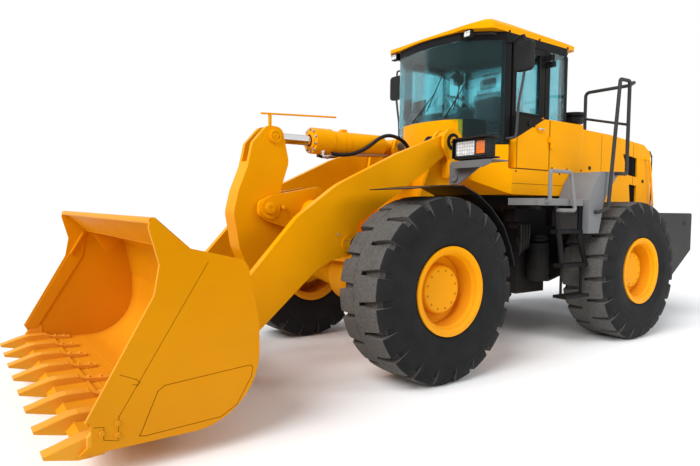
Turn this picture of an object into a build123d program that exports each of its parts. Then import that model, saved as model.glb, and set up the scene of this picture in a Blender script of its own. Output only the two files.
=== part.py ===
"""Articulated wheel loader, five tonne class, built as separate pieces.

Millimetres. While the pieces are drawn, X = 0 is the axis of the articulation between the two
frames, +X is forward, +Y is left and Z = 0 is the ground. save() moves every piece so that the
origin is on the ground under the middle of the machine.
"""
from build123d import *
from math import cos, hypot, pi, sin, tan
import os

os.makedirs("parts", exist_ok=True)

# ---- clearances -------------------------------------------------------------------------------
RUNNING = 0.3          # radial clearance of a pin in its bore
SEAT = 0.3             # gap between curved faces that sit on each other
SIDE_GAP = 6           # free gap beside a piece that moves
PLATE = 40             # heavy frame plate
SHEET = 8              # fender and guard sheet

# ---- wheels and axles -------------------------------------------------------------------------
WHEELBASE = 3100
TREAD = 2190           # between the middles of the left and right tyres
TYRE_RADIUS = 800
TYRE_HALF = 288        # half width at the widest part of the sidewall
CROWN_HALF = 262       # half width over the lugs
FACETS = 40            # flats round a tyre; every second one has a gap between lugs on one side
LUG_GAP = 28           # half width of such a gap
LUG_GAP_START = 45     # from the tyre's middle plane
LUG_DEEP = 45
RIM_RADIUS = 381       # outside of the rim's flange
RIM_HALF = 270         # half width over the rim's flanges
BARREL_RADIUS = 318    # outside of the rim's barrel, where the beads sit
BARREL_WALL = 16
NAVE = 26              # thickness of the rim's disc
HUB_RADIUS = 205
HUB_FACE = 150         # from the wheel's middle plane to the hub's outer face
SPINDLE_RADIUS = 110
AXLE_RADIUS = 150
BANJO_RADIUS = 265
FRONT_AXLE_X = WHEELBASE / 2
REAR_AXLE_X = -WHEELBASE / 2
AXLE_Z = TYRE_RADIUS
WHEEL_Y = TREAD / 2

# ---- loader linkage: pins as X, Z -------------------------------------------------------------
BOOM_PIN = (850, 2160)
BUCKET_PIN = (3240, 440)
ROCKER_PIN = (2627, 1477)
ROD_PIN = (2550, 2130)
LINK_PIN = (2508, 691)
BUCKET_LINK_PIN = (3120, 758)
TILT_BASE = (1060, 2140)
LIFT_EYE = (2084, 1167)
LIFT_BASE = (520, 780)
PIN_RADIUS = 50
BOSS_RADIUS = 100

ARM_OUTER = 610        # boom arms, distance of their outer faces from the middle
ARM_THICK = 70
ARM_INNER = ARM_OUTER - ARM_THICK
ROCKER_HALF = 100
LIFT_Y = 700           # middle of the lift cylinders
LIFT_RADIUS = 80
LIFT_ROD_RADIUS = 48
TILT_RADIUS = 112
TILT_ROD_RADIUS = 50

# ---- articulation -----------------------------------------------------------------------------
HINGE_LEVELS = (560, 1180)   # middles of the lower and upper hinge lugs
LUG_HALF = 35
LUG_RADIUS = 120
HINGE_PIN_RADIUS = 50

# ---- front frame ------------------------------------------------------------------------------
SIDE_PLATE_OUTER = ARM_INNER - 15
SIDE_PLATE_INNER = SIDE_PLATE_OUTER - PLATE
EAR_INNER = ARM_OUTER + 15
EAR_OUTER = EAR_INNER + 35

# ---- bucket -----------------------------------------------------------------------------------
BUCKET_HALF = 1480
BUCKET_SHEET = 22
FLOOR_Z = 158
EDGE_X = 4430
BUCKET_ARC = 430
BUCKET_BACK_X = 3375
TOOTH_TIP_X = 4600
TOOTH_COUNT = 8
TOOTH_WIDTH = 105
TOOTH_SPAN = 2 * 1400

# ---- rear frame and cab -----------------------------------------------------------------------
RAIL_INNER = 420
REAR_END_X = -3450
CAB_HALF = 800
BODY_HALF = 875
BODY_WALL = 30
CAB_REAR_X = -800
DOOR_FRONT_X = 225
DOOR_REAR_X = -425
SILL_Z = 1925
BELT_Z = 2480
QUARTER_Z = 2180       # underside of the quarter lights
NOSE_Z = 2440          # top of the cowl under the windscreen
ROOF_Z = 3330
RING_Z = ROOF_Z - 90   # underside of the ring that carries the roof
PLATFORM_Z = 1610
PLATFORM_HALF = 1200
PLATFORM_DEEP = 70
TRAY_Z = 1650          # underside of the cab
BRACKET_X = (-500, 100)
HOOD_HALF = 660
HOOD_WALL = 30
GRILLE_HALF = 600
GRILLE_X = -3108
GRILLE_KNUCKLE = 14
RAIL_RADIUS = 20
HINGE_X, HINGE_Y = DOOR_REAR_X - 5, BODY_HALF + 19     # the cab door's hinge line
HINGE_KNUCKLES = (2230, RING_Z - 120)
KNUCKLE = 60
KNUCKLE_RADIUS = 13
HINGE_PIN = 7
WEIGHT_HALF = 1060
WEIGHT_FRONT_X = -2430
TOW_X = REAR_END_X + 110     # upright tow pin bore through the counterweight's jaw
TOW_RADIUS = 30
TOW_FOOT, TOW_LOW, TOW_HIGH, TOW_TOP = 1050, 1150, 1290, 1468

MIDDLE_X = (TOOTH_TIP_X + REAR_END_X) / 2


# ---- small makers -----------------------------------------------------------------------------
def save(node, shape):
    """Write one node, moved so that the origin is under the middle of the machine."""
    export_step(Pos(-MIDDLE_X, 0, 0) * shape, f"parts/{node}.step")


def block(x, y, z):
    """A box from three (low, high) pairs."""
    size = [high - low for low, high in (x, y, z)]
    middle = [(high + low) / 2 for low, high in (x, y, z)]
    return Pos(*middle) * Box(*size)


def prism(points, across, start, end):
    """A straight piece from an outline of (a, b, corner radius) rows.

    across "Y": rows are X, Z.  across "Z": rows are X, Y.  across "X": rows are Y, Z.
    """
    if across == "Y":
        places, way = [(a, start, b) for a, b, _ in points], (0, 1, 0)
    elif across == "Z":
        places, way = [(a, b, start) for a, b, _ in points], (0, 0, 1)
    else:
        places, way = [(start, a, b) for a, b, _ in points], (1, 0, 0)
    radii = [corner for _, _, corner in points]
    if any(radii):
        edge = FilletPolyline(*places, radius=radii, close=True)
    else:
        edge = Polyline(*places, close=True)
    return extrude(make_face(edge.edges()), end - start, dir=way)


def bar(start, end, radius):
    """A round bar between two places."""
    line = Line(start, end)
    return sweep(Plane(line @ 0, z_dir=line % 0) * Circle(radius), path=line)


def pipe(places, radius, bend):
    """A round bar that follows straight runs with bends between them."""
    path = FilletPolyline(*places, radius=bend)
    return sweep(Plane(path @ 0, z_dir=path % 0) * Circle(radius), path=path)


def across_pin(pin, low, high, radius):
    """A round piece along Y at an (X, Z) place."""
    length = high - low
    return Pos(pin[0], (low + high) / 2, pin[1]) * Rot(90, 0, 0) * Cylinder(radius, length)


def upright(x, y, low, high, radius):
    """A round piece along Z."""
    return Pos(x, y, (low + high) / 2) * Cylinder(radius, high - low)


def turned(rows):
    """A piece of revolution about Y from (y, radius) rows."""
    face = make_face(Polyline(*[(r, y, 0) for y, r in rows], close=True).edges())
    return revolve(face, Axis.Y)


def mirrored(shape):
    """The same piece on the other side of the machine."""
    return mirror(shape, about=Plane.XZ)


def both(shape):
    """A piece and its mirror image, as one node."""
    return Compound([*solids_of(shape), *solids_of(mirrored(shape))])


def solids_of(shape):
    """The separate solids of a shape."""
    return list(shape.solids())


def strip(points, thick):
    """Outline rows of a bent sheet: the given X, Z line and the same line moved inward."""
    outer, inner = [], []
    for i, (x, z) in enumerate(points):
        before = points[max(i - 1, 0)]
        after = points[min(i + 1, len(points) - 1)]
        dx, dz = after[0] - before[0], after[1] - before[1]
        length = hypot(dx, dz)
        outer.append((x, z, 0))
        inner.append((x + dz / length * thick, z - dx / length * thick, 0))
    return outer + inner[::-1]


def span(a, b):
    """Distance between two (X, Z) places."""
    return hypot(b[0] - a[0], b[1] - a[1])


def along(start, end, distance):
    """The place at a distance from start towards end."""
    share = distance / span(start, end)
    return (start[0] + (end[0] - start[0]) * share, start[1] + (end[1] - start[1]) * share)


# ---- wheels -----------------------------------------------------------------------------------
def tyre():
    """Ring of flats out to the lug tips, with room inside for the rim's barrel."""
    shoulder, bead = (TYRE_HALF, TYRE_RADIUS - 160), (RIM_HALF - 22, RIM_RADIUS + 4)
    crown = (CROWN_HALF - 8, TYRE_RADIUS)
    bore = (bead[0], BARREL_RADIUS + SEAT)
    root = (crown[0] - 20, TYRE_RADIUS - LUG_DEEP - 10)
    start = (LUG_GAP_START, TYRE_RADIUS - LUG_DEEP)
    lip = (LUG_GAP_START, TYRE_RADIUS)
    gap = LUG_GAP
    faces = []
    for k in range(FACETS):
        angle = 2 * pi * k / FACETS - pi / 2
        side = 1 if k % 2 == 0 else -1

        def flat(*corners):
            """A face from (ring, side, distance round the tyre, or its end) rows."""
            places = []
            for (y, high), way, t in corners:
                t = high * tan(pi / FACETS) * t if abs(t) == 1 else t
                places.append((high * cos(angle) - t * sin(angle), y * way, high * sin(angle) + t * cos(angle)))
            faces.append(make_face(Polyline(*places, close=True).edges()))

        flat((crown, -side, -1), (crown, -side, 1), (crown, side, 1), (crown, side, gap), (lip, side, gap),
             (lip, side, -gap), (crown, side, -gap), (crown, side, -1))
        for end in (-1, 1):
            near = end * gap
            flat((crown, side, end), (crown, side, near), (shoulder, side, near), (shoulder, side, end))
            flat((lip, side, near), (crown, side, near), (shoulder, side, near), (root, side, near),
                 (start, side, near))
            flat((bead, end, -1), (bead, end, 1), (bore, end, 1), (bore, end, -1))
        flat((shoulder, side, -1), (shoulder, side, -gap), (shoulder, side, gap), (shoulder, side, 1),
             (bead, side, 1), (bead, side, -1))
        flat((start, side, -gap), (start, side, gap), (root, side, gap), (root, side, -gap))
        flat((root, side, -gap), (root, side, gap), (shoulder, side, gap), (shoulder, side, -gap))
        flat((start, side, -gap), (start, side, gap), (lip, side, gap), (lip, side, -gap))
        flat((crown, -side, -1), (crown, -side, 1), (shoulder, -side, 1), (shoulder, -side, -1))
        flat((shoulder, -side, -1), (shoulder, -side, 1), (bead, -side, 1), (bead, -side, -1))
        flat((bore, -1, -1), (bore, -1, 1), (bore, 1, 1), (bore, 1, -1))
    return Solid(Shell(faces))


def rim():
    """Barrel with flanges, disc and hub; local +Y is outboard."""
    inside = BARREL_RADIUS - BARREL_WALL
    bead = RIM_HALF - 22 + SEAT
    barrel = turned([
        (RIM_HALF, RIM_RADIUS), (bead + 4, RIM_RADIUS), (bead, RIM_RADIUS - 30),
        (bead, BARREL_RADIUS), (-bead, BARREL_RADIUS), (-bead, RIM_RADIUS - 30),
        (-bead - 4, RIM_RADIUS), (-RIM_HALF, RIM_RADIUS), (-RIM_HALF, RIM_RADIUS - 36),
        (-RIM_HALF + 40, inside), (RIM_HALF - 60, inside), (RIM_HALF - 14, RIM_RADIUS - 52),
        (RIM_HALF, RIM_RADIUS - 30)])
    bore = SPINDLE_RADIUS + RUNNING
    nave = turned([(30, bore), (30, inside + 2), (30 + NAVE, inside + 2), (30 + NAVE, HUB_RADIUS),
                   (HUB_FACE - 14, HUB_RADIUS - 8), (HUB_FACE, HUB_RADIUS - 24), (HUB_FACE, 0),
                   (HUB_FACE - 40, 0), (HUB_FACE - 40, bore)])
    drum = turned([(-60, bore), (-60, HUB_RADIUS + 10), (30, HUB_RADIUS + 10), (30, bore)])
    return barrel + nave + drum


def axle(centre_x, nose):
    """Banjo housing with tubes, spindles, mounting pads and a pinion nose towards the middle."""
    flange = WHEEL_Y - 75
    half = [(0, BANJO_RADIUS), (110, BANJO_RADIUS), (290, AXLE_RADIUS + 20), (600, AXLE_RADIUS - 28),
            (LIFT_Y + 90, AXLE_RADIUS - 28), (flange - 40, HUB_RADIUS), (flange, HUB_RADIUS),
            (flange, SPINDLE_RADIUS), (WHEEL_Y + 95, SPINDLE_RADIUS), (WHEEL_Y + 95, 0)]
    housing = turned(half + [(-y, r) for y, r in half[:0:-1]])
    reach = BANJO_RADIUS + 150
    pinion = Pos(nose * reach / 2, 0, 0) * Rot(0, 90 * nose, 0) * Cone(150, 105, reach)
    flange_disc = Pos(nose * reach, 0, 0) * Rot(0, 90, 0) * Cylinder(80, 60)
    return Pos(centre_x, 0, AXLE_Z) * (housing + pinion + flange_disc)


PAD_Z = AXLE_Z + AXLE_RADIUS + 25


def axle_pads(centre_x):
    """Blocks that carry the frame on an axle tube."""
    y = (SIDE_PLATE_INNER - 60, SIDE_PLATE_OUTER + 30)
    pad = block((centre_x - 140, centre_x + 140), y, (AXLE_Z, PAD_Z))
    return pad + mirrored(pad)


def build_wheels():
    for name, x, y in (("front_left", FRONT_AXLE_X, WHEEL_Y), ("front_right", FRONT_AXLE_X, -WHEEL_Y),
                       ("rear_left", REAR_AXLE_X, WHEEL_Y), ("rear_right", REAR_AXLE_X, -WHEEL_Y)):
        side = 1 if y > 0 else -1
        facing = Rot(0, 0, 0) if side > 0 else Rot(0, 0, 180)
        save(f"tyre_{name}", Pos(x, y, AXLE_Z) * facing * tyre())
        save(f"rim_{name}", Pos(x, y, AXLE_Z) * facing * rim())


# ---- front frame ------------------------------------------------------------------------------
TILT_EAR_IN = 62
STEER_EYE = (180, 330)       # X, Y of the steering cylinders' pins on the front frame
STEER_BASE = (-640, 300)     # and on the rear frame
STEER_Z = 820
STEER_RADIUS = 42
STEER_ROD_RADIUS = 20
STEER_BARREL_END = 505       # from the base pin to the mouth of the barrel
STEER_ROD_LENGTH = 500       # from the eye to the rod's inner end
STEER_EYE_HALF = 26
STEER_PIN = 20


def steer_lugs(place, root_x, pinned):
    """Two plates above and below a steering cylinder's eye, both sides of the machine."""
    x, y = place
    away = 1 if root_x > x else -1
    made = upright(x, y, STEER_Z - 60, STEER_Z + 60, STEER_PIN) if pinned else None
    for low in (STEER_Z - STEER_EYE_HALF - SIDE_GAP - 24, STEER_Z + STEER_EYE_HALF + SIDE_GAP):
        lug = block(sorted((x, root_x + away)), (y - 46, y + 46), (low, low + 24)) + upright(x, y, low, low + 24, 46)
        made = lug if made is None else made + lug
    return made + mirrored(made)


def front_chassis():
    px, pz = BOOM_PIN
    rear_x = px - 130
    plate = prism([(230, 480, 0), (700, 480, 60), (1030, 640, 120), (1270, PAD_Z, 60),
                   (1950, PAD_Z, 0), (1900, 1170, 60), (1300, 1290, 200), (px + 190, 1880, 100),
                   (px + 125, pz + 60, 60), (px + 60, pz + 125, 60), (px - 60, pz + 125, 60),
                   (rear_x, pz + 60, 60), (rear_x, 1450, 80), (600, 1290, 60), (230, 1290, 0)],
                  "Y", SIDE_PLATE_INNER, SIDE_PLATE_OUTER)
    ear = prism([(rear_x, 1800, 30), (px + 30, 1800, 30), (px + 40, 1985, 30), (px + 125, pz - 60, 60),
                 (px + 125, pz + 60, 60), (px + 60, pz + 125, 60), (px - 60, pz + 125, 60),
                 (rear_x, pz + 60, 60)], "Y", EAR_INNER, EAR_OUTER)
    bridge = block((rear_x, px + 20), (SIDE_PLATE_OUTER, EAR_INNER), (1800, 1960))
    boom_pin = across_pin(BOOM_PIN, SIDE_PLATE_INNER, EAR_OUTER + 12, PIN_RADIUS)
    lift_pin = across_pin(LIFT_BASE, SIDE_PLATE_OUTER - PLATE, LIFT_Y + 60, PIN_RADIUS - 5)
    lift_boss = across_pin(LIFT_BASE, SIDE_PLATE_OUTER, LIFT_Y - LIFT_RADIUS - SIDE_GAP, 85)
    side = plate + ear + bridge + boom_pin + lift_pin + lift_boss
    inner = (-SIDE_PLATE_INNER, SIDE_PLATE_INNER)
    rear_wall = block((230, 270), inner, (480, 1290))
    for way in (1, -1):
        rear_wall -= block((220, 280), sorted((way * 210, way * 450)), (STEER_Z - 40, STEER_Z + 40))
    top = block((270, 1290), inner, (1130, 1160))
    nose = block((1870, 1905), inner, (PAD_Z, 1150))
    tower_wall = block((px, px + PLATE), inner, (1290, 1990))
    belly = block((270, 700), inner, (480, 520))
    saddle = block((px + PLATE, px + 180), inner, (1290, 1330))
    frame = side + mirrored(side) + rear_wall + top + nose + tower_wall + belly + saddle
    gx, gz = TILT_BASE
    tilt_ear = prism([(px + PLATE, 1700, 0), (gx + 60, gz - 260, 60), (gx + 95, gz - 40, 60),
                      (gx + 60, gz + 85, 50), (gx - 50, gz + 85, 50), (px + PLATE, gz - 160, 0)],
                     "Y", TILT_EAR_IN, TILT_EAR_IN + PLATE)
    frame += tilt_ear + mirrored(tilt_ear)
    frame -= across_pin(TILT_BASE, -2 * TILT_EAR_IN, 2 * TILT_EAR_IN, PIN_RADIUS - 5 + RUNNING)
    for level in HINGE_LEVELS:
        lug = prism([(240, -330, 0), (60, -LUG_RADIUS, 60), (-LUG_RADIUS, -LUG_RADIUS, LUG_RADIUS - 1),
                     (-LUG_RADIUS, LUG_RADIUS, LUG_RADIUS - 1), (60, LUG_RADIUS, 60), (240, 330, 0)],
                    "Z", level - LUG_HALF, level + LUG_HALF)
        frame += lug - upright(0, 0, level - 2 * LUG_HALF, level + 2 * LUG_HALF, HINGE_PIN_RADIUS + RUNNING)
    return frame + steer_lugs(STEER_EYE, 230, False)


# X, Z of the fender sheet from its front end round to its rear end
FENDER_LINE = ((2003, 1652), (1654, 1689), (1418, 1693), (1240, 1626), (1060, 1510), (889, 1350),
               (780, 1150), (720, 979))
FENDER_Y = (TREAD / 2 - TYRE_HALF - 5, 1350)


def front_fenders():
    sheet = prism(strip(FENDER_LINE[::-1], SHEET), "Y", *FENDER_Y)
    reach = SIDE_PLATE_OUTER + SEAT
    made = sheet
    # the stay's X, Z on the frame, its radius, and the plate from it to the sheet
    for stay, radius, plate in (
            ((880, 1500), 18, [(855, 1480, 0), (900, 1525, 0), (1062, 1500, 0), (905, 1358, 0)]),
            ((680, 1200), 14, [(655, 1180, 0), (660, 1222, 0), (815, 1215, 0), (776, 1145, 0)])):
        made += across_pin(stay, reach, FENDER_Y[0] + 22, radius) + across_pin(stay, reach, reach + 12, 2.5 * radius)
        made += prism(plate, "Y", FENDER_Y[0] + 10, FENDER_Y[0] + 22)
    return both(made)


LAMP_X = 905


def headlamps():
    shelf = block((LAMP_X - 60, LAMP_X + 90), (EAR_OUTER + SEAT, 1180), (1930, 1960))
    post = prism([(EAR_OUTER + SEAT, 1930, 0), (EAR_OUTER + SEAT, 1730, 0), (780, 1730, 0), (1050, 1890, 0),
                  (1050, 1930, 0)], "X", LAMP_X - 40, LAMP_X + 60)
    housing = block((LAMP_X - 60, LAMP_X + 60), (790, 1190), (1975, 2150))
    visor = block((LAMP_X - 70, LAMP_X + 120), (780, 1260), (2150, 2166))
    lip = block((LAMP_X - 70, LAMP_X + 110), (780, 1260), (1959, 1976))
    return both(shelf + post + housing + visor + lip)


# ---- boom, rocker, link and bucket ------------------------------------------------------------
def boom():
    ax, az = BOOM_PIN
    bx, bz = BUCKET_PIN
    # X, Z, corner radius, clockwise from the pivot's top
    outline = [(ax - 75, az + 105, 90), (ax + 90, az + 66, 60), (1521, 2006, 600), (2199, 1694, 700),
               (2598, 1415, 500), (3040, 934, 30), (3085, 800, 120), (bx + 20, bz + 105, 60),
               (bx + 105, bz + 45, 60), (bx + 75, bz - 80, 60), (bx - 40, bz - 98, 60),
               (2942, 500, 300), (2416, 954, 500), (2243, 1040, 110), (2060, 1060, 90),
               (1975, 1200, 90), (2010, 1335, 60), (1513, 1632, 600), (1134, 1875, 400),
               (ax + 40, az - 118, 60), (ax - 100, az - 75, 80)]
    arm = prism(outline, "Y", ARM_INNER, ARM_OUTER)
    boss = across_pin(BOOM_PIN, ARM_INNER - 8, ARM_OUTER + 8, 115)
    tip = across_pin(BUCKET_PIN, ARM_INNER, ARM_OUTER, BOSS_RADIUS - 4)
    lift_boss = across_pin(LIFT_EYE, ARM_OUTER, ARM_OUTER + 6, 75)
    arm += boss + tip + lift_boss
    rx, rz = ROCKER_PIN
    cheek_in = ROCKER_HALF + SIDE_GAP
    cheek_out = cheek_in + 55
    cheek = prism([(rx - 560, rz + 215, 40), (rx - 20, rz + 118, 60), (rx + 105, rz + 60, 60),
                   (rx + 105, rz - 60, 60), (rx + 20, rz - 115, 60), (2300, 1255, 60),
                   (2080, 1330, 60)], "Y", cheek_in, cheek_out)
    tube = across_pin((2190, 1440), -ARM_INNER, ARM_INNER, 120)
    cheek_boss = across_pin(ROCKER_PIN, cheek_out, cheek_out + 14, 95)
    side = arm + cheek + cheek_boss
    whole = side + mirrored(side) + tube
    reach = ARM_OUTER + 50
    whole -= across_pin(BOOM_PIN, -reach, reach, PIN_RADIUS + RUNNING)
    whole -= across_pin(BUCKET_PIN, -reach, reach, PIN_RADIUS + RUNNING)
    whole -= across_pin(ROCKER_PIN, -reach / 2, reach / 2, PIN_RADIUS + 5 + RUNNING)
    return whole


CHEEK_OUT = ROCKER_HALF + SIDE_GAP + 55


def rocker():
    """Two armed lever with a fork at each end."""
    cx, cz = ROCKER_PIN
    dx, dz = ROD_PIN
    ex, ez = LINK_PIN
    outline = [(dx - 75, dz + 85, 80), (dx + 75, dz + 95, 80), (2770, 2060, 60), (2815, 1853, 120),
               (2900, 1640, 200), (2948, 1439, 200), (2890, 1120, 300), (2760, 850, 200),
               (ex + 60, ez - 92, 60), (ex - 60, ez - 80, 60), (ex - 85, ez + 60, 60),
               (2480, 1000, 200), (2455, 1300, 200), (2490, 1640, 100), (2404, 1902, 150)]
    body = prism(outline, "Y", -ROCKER_HALF, ROCKER_HALF)
    rod_slot = block((dx - 300, dx + 300), (-ROD_EYE_HALF - SIDE_GAP, ROD_EYE_HALF + SIDE_GAP),
                     (dz - 235, dz + 200))
    link_slot = block((ex - 250, ex + 330), (-LINK_HALF - SIDE_GAP, LINK_HALF + SIDE_GAP),
                      (ez - 300, ez + 190))
    body -= rod_slot + link_slot
    cheek = across_pin(ROD_PIN, ROCKER_HALF, ROCKER_HALF + 12, 70)
    body += cheek + mirrored(cheek)
    body -= across_pin(ROCKER_PIN, -ROCKER_HALF, ROCKER_HALF, PIN_RADIUS + 5 + RUNNING)
    body -= across_pin(LINK_PIN, -ROCKER_HALF, ROCKER_HALF, PIN_RADIUS - 10 + RUNNING)
    return body


ROD_EYE_HALF = 45
LINK_HALF = 45


def link():
    """Flat bar between the rocker's foot and the bucket."""
    ex, ez = LINK_PIN
    fx, fz = BUCKET_LINK_PIN
    eye = across_pin(LINK_PIN, -LINK_HALF, LINK_HALF, 85) + across_pin(BUCKET_LINK_PIN, -LINK_HALF, LINK_HALF, 80)
    waist = prism([(ex, ez - 60, 0), (fx, fz - 60, 0), (fx, fz + 60, 0), (ex, ez + 60, 0)],
                  "Y", -LINK_HALF, LINK_HALF)
    return eye + waist - across_pin(LINK_PIN, -LINK_HALF, LINK_HALF, PIN_RADIUS - 10 + RUNNING) \
        - across_pin(BUCKET_LINK_PIN, -LINK_HALF, LINK_HALF, PIN_RADIUS - 10)


def bucket_shell(offset, low_y, high_y, front):
    """The bucket's section, moved inward by offset; front is where its floor ends."""
    x, z = BUCKET_BACK_X + offset, FLOOR_Z + offset
    arc = BUCKET_ARC
    line = [(front, z, 0), (x, z, arc - offset), (x + 8, 760, 0), (x + 92 - offset * 0.3, 1160 - offset, 90),
            (3835, 1248 - offset, 0)]
    if offset:
        line += [(4100, 1248 - offset, 0), (front, 330, 0)]
    else:
        line += [(3997, 975, 60), (4374, 322, 0), (front, FLOOR_Z + 60, 0)]
    return prism(line, "Y", low_y, high_y)


def bucket():
    half = BUCKET_HALF
    outer = bucket_shell(0, -half, half, EDGE_X - 60)
    inner = bucket_shell(BUCKET_SHEET, -half + 25, half - 25, EDGE_X + 200)
    shell = outer - inner
    edge = prism([(4150, FLOOR_Z, 0), (EDGE_X, FLOOR_Z, 0), (EDGE_X - 45, FLOOR_Z + 40, 0),
                  (4150, FLOOR_Z + 40, 0)], "Y", -half, half)
    ear_top = prism([(3835, 1248, 0), (3990, 1385, 0), (4030, 1427, 0), (4070, 1383, 40), (3994, 1117, 60),
                     (4000, 975, 0)], "Y", half - 25, half)
    strip_side = prism([(3835, 1248, 0), (3997, 975, 60), (4374, 322, 0), (4400, 330, 0), (4035, 985, 60),
                        (3990, 1250, 0)], "Y", half - 25, half)
    guard = prism([(3818, 1240, 0), (4024, 1424, 0), (4040, 1406, 0), (3840, 1226, 0)], "Y", -half + 10, half - 10)
    guard += across_pin((4040, 1405), -half + 10, half - 10, 22)
    shell += edge + ear_top + mirrored(ear_top) + strip_side + mirrored(strip_side) + guard
    bx, bz = BUCKET_PIN
    fx, fz = BUCKET_LINK_PIN
    back = BUCKET_BACK_X + 12
    hinge_rows = [(3560, 262, 0), (3420, 300, 0), (bx + 20, bz - 98, 60), (bx - 90, bz - 60, 60),
                  (bx - 85, bz + 60, 60), (bx + 40, bz + 160, 100), (back, 860, 0), (back + 8, 560, 0)]
    gap = SIDE_GAP + 2
    ears = prism(hinge_rows, "Y", ARM_OUTER + gap, ARM_OUTER + gap + 42)
    ears += prism(hinge_rows, "Y", ARM_INNER - gap - 42, ARM_INNER - gap)
    link_rows = [(back, 560, 0), (fx - 40, fz - 85, 60), (fx - 85, fz, 60), (fx - 40, fz + 85, 60),
                 (back + 40, 980, 0)]
    link_ear = prism(link_rows, "Y", LINK_HALF + gap, LINK_HALF + gap + 40)
    stub = across_pin(BUCKET_LINK_PIN, LINK_HALF + gap + 40, LINK_HALF + gap + 52, PIN_RADIUS + 8)
    ears += link_ear + stub
    ears -= bucket_shell(BUCKET_SHEET / 2, -half, half, EDGE_X)
    shell += ears + mirrored(ears)
    reach = ARM_OUTER + 100
    return shell - across_pin(BUCKET_PIN, -reach, reach, PIN_RADIUS + RUNNING)


def tooth():
    """One tooth and its shank, straddling the cutting edge, centred on Y = 0."""
    rows = [(4175, FLOOR_Z + 40, 0), (4215, FLOOR_Z + 84, 20), (EDGE_X - 60, FLOOR_Z + 88, 40),
            (TOOTH_TIP_X, FLOOR_Z + 26, 0), (TOOTH_TIP_X - 6, FLOOR_Z + 12, 0), (EDGE_X, FLOOR_Z - 28, 20),
            (EDGE_X - 130, FLOOR_Z - 24, 10), (EDGE_X - 150, FLOOR_Z, 0), (EDGE_X, FLOOR_Z, 0),
            (EDGE_X - 45, FLOOR_Z + 40, 0)]
    return prism(rows, "Y", -TOOTH_WIDTH / 2, TOOTH_WIDTH / 2)


def bucket_teeth():
    step = TOOTH_SPAN / (TOOTH_COUNT - 1)
    made = []
    for i in range(TOOTH_COUNT):
        made += solids_of(Pos(0, -TOOTH_SPAN / 2 + i * step, 0) * tooth())
    return Compound(made)


# ---- cylinders --------------------------------------------------------------------------------
def cylinder_at(start, end, near, far, radius, y):
    """A round piece on the line between two (X, Z) pins, from near to far along it."""
    a, b = along(start, end, near), along(start, end, far)
    return bar((a[0], y, a[1]), (b[0], y, b[1]), radius)


LIFT_LENGTH = span(LIFT_BASE, LIFT_EYE)
LIFT_BARREL = LIFT_LENGTH - 250      # from the base pin to the end of the barrel
TILT_LENGTH = span(TILT_BASE, ROD_PIN)
TILT_BARREL = 1050                   # from the base pin to the end of the head
STOP_TUBE = (690, 790)               # where its sleeve lies, measured the same way
STOP_TUBE_RADIUS = 64


def lift_barrel():
    eye = across_pin(LIFT_BASE, LIFT_Y - 45, LIFT_Y + 45, 88)
    tube = cylinder_at(LIFT_BASE, LIFT_EYE, 60, LIFT_BARREL, LIFT_RADIUS, LIFT_Y)
    core = cylinder_at(LIFT_BASE, LIFT_EYE, 130, LIFT_BARREL + 5, LIFT_ROD_RADIUS + RUNNING, LIFT_Y)
    return eye + tube - core - across_pin(LIFT_BASE, LIFT_Y - 50, LIFT_Y + 50, PIN_RADIUS - 5 + RUNNING)


def lift_rod():
    eye = across_pin(LIFT_EYE, LIFT_Y - 50, LIFT_Y + 50, 82)
    stem = cylinder_at(LIFT_BASE, LIFT_EYE, 170, LIFT_LENGTH - 60, LIFT_ROD_RADIUS, LIFT_Y)
    pin = across_pin(LIFT_EYE, ARM_OUTER + 6 + SIDE_GAP, LIFT_Y + 65, 55)
    return eye + stem + pin


def tilt_barrel():
    eye = across_pin(TILT_BASE, -55, 55, 88)
    neck = cylinder_at(TILT_BASE, ROD_PIN, 60, 215, 52, 0)
    tube = cylinder_at(TILT_BASE, ROD_PIN, 200, TILT_BARREL - 60, TILT_RADIUS, 0)
    head = cylinder_at(TILT_BASE, ROD_PIN, TILT_BARREL - 210, TILT_BARREL, TILT_RADIUS + 14, 0)
    core = cylinder_at(TILT_BASE, ROD_PIN, 230, TILT_BARREL + 5, TILT_ROD_RADIUS + RUNNING, 0)
    core += cylinder_at(TILT_BASE, ROD_PIN, 230, TILT_BARREL - 70, STOP_TUBE_RADIUS + RUNNING, 0)
    return eye + neck + tube + head - core - across_pin(TILT_BASE, -60, 60, PIN_RADIUS - 5 + RUNNING)


def tilt_stop_tube():
    # floats on the rod, inside the barrel, and keeps the rod from running out of its head
    sleeve = cylinder_at(TILT_BASE, ROD_PIN, *STOP_TUBE, STOP_TUBE_RADIUS, 0)
    return sleeve - cylinder_at(TILT_BASE, ROD_PIN, *STOP_TUBE, TILT_ROD_RADIUS + RUNNING, 0)


TILT_ROD_IN = 620      # how far from the base pin the rod starts, fully inside the barrel


def tilt_rod():
    eye = across_pin(ROD_PIN, -ROD_EYE_HALF, ROD_EYE_HALF, 92)
    stem = cylinder_at(TILT_BASE, ROD_PIN, TILT_ROD_IN, TILT_LENGTH - 70, TILT_ROD_RADIUS, 0)
    return eye + stem


def level_indicator():
    """Bar above the tilt cylinder that shows the bucket's level, on a post on the rod's eye."""
    dx, dz = ROD_PIN
    post = block((dx - 12, dx + 12), (-12, 12), (dz + 92 + SEAT, dz + 222))
    return post + bar((dx + 92, 0, dz + 210), (1820, 0, dz + 255), 9)


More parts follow.
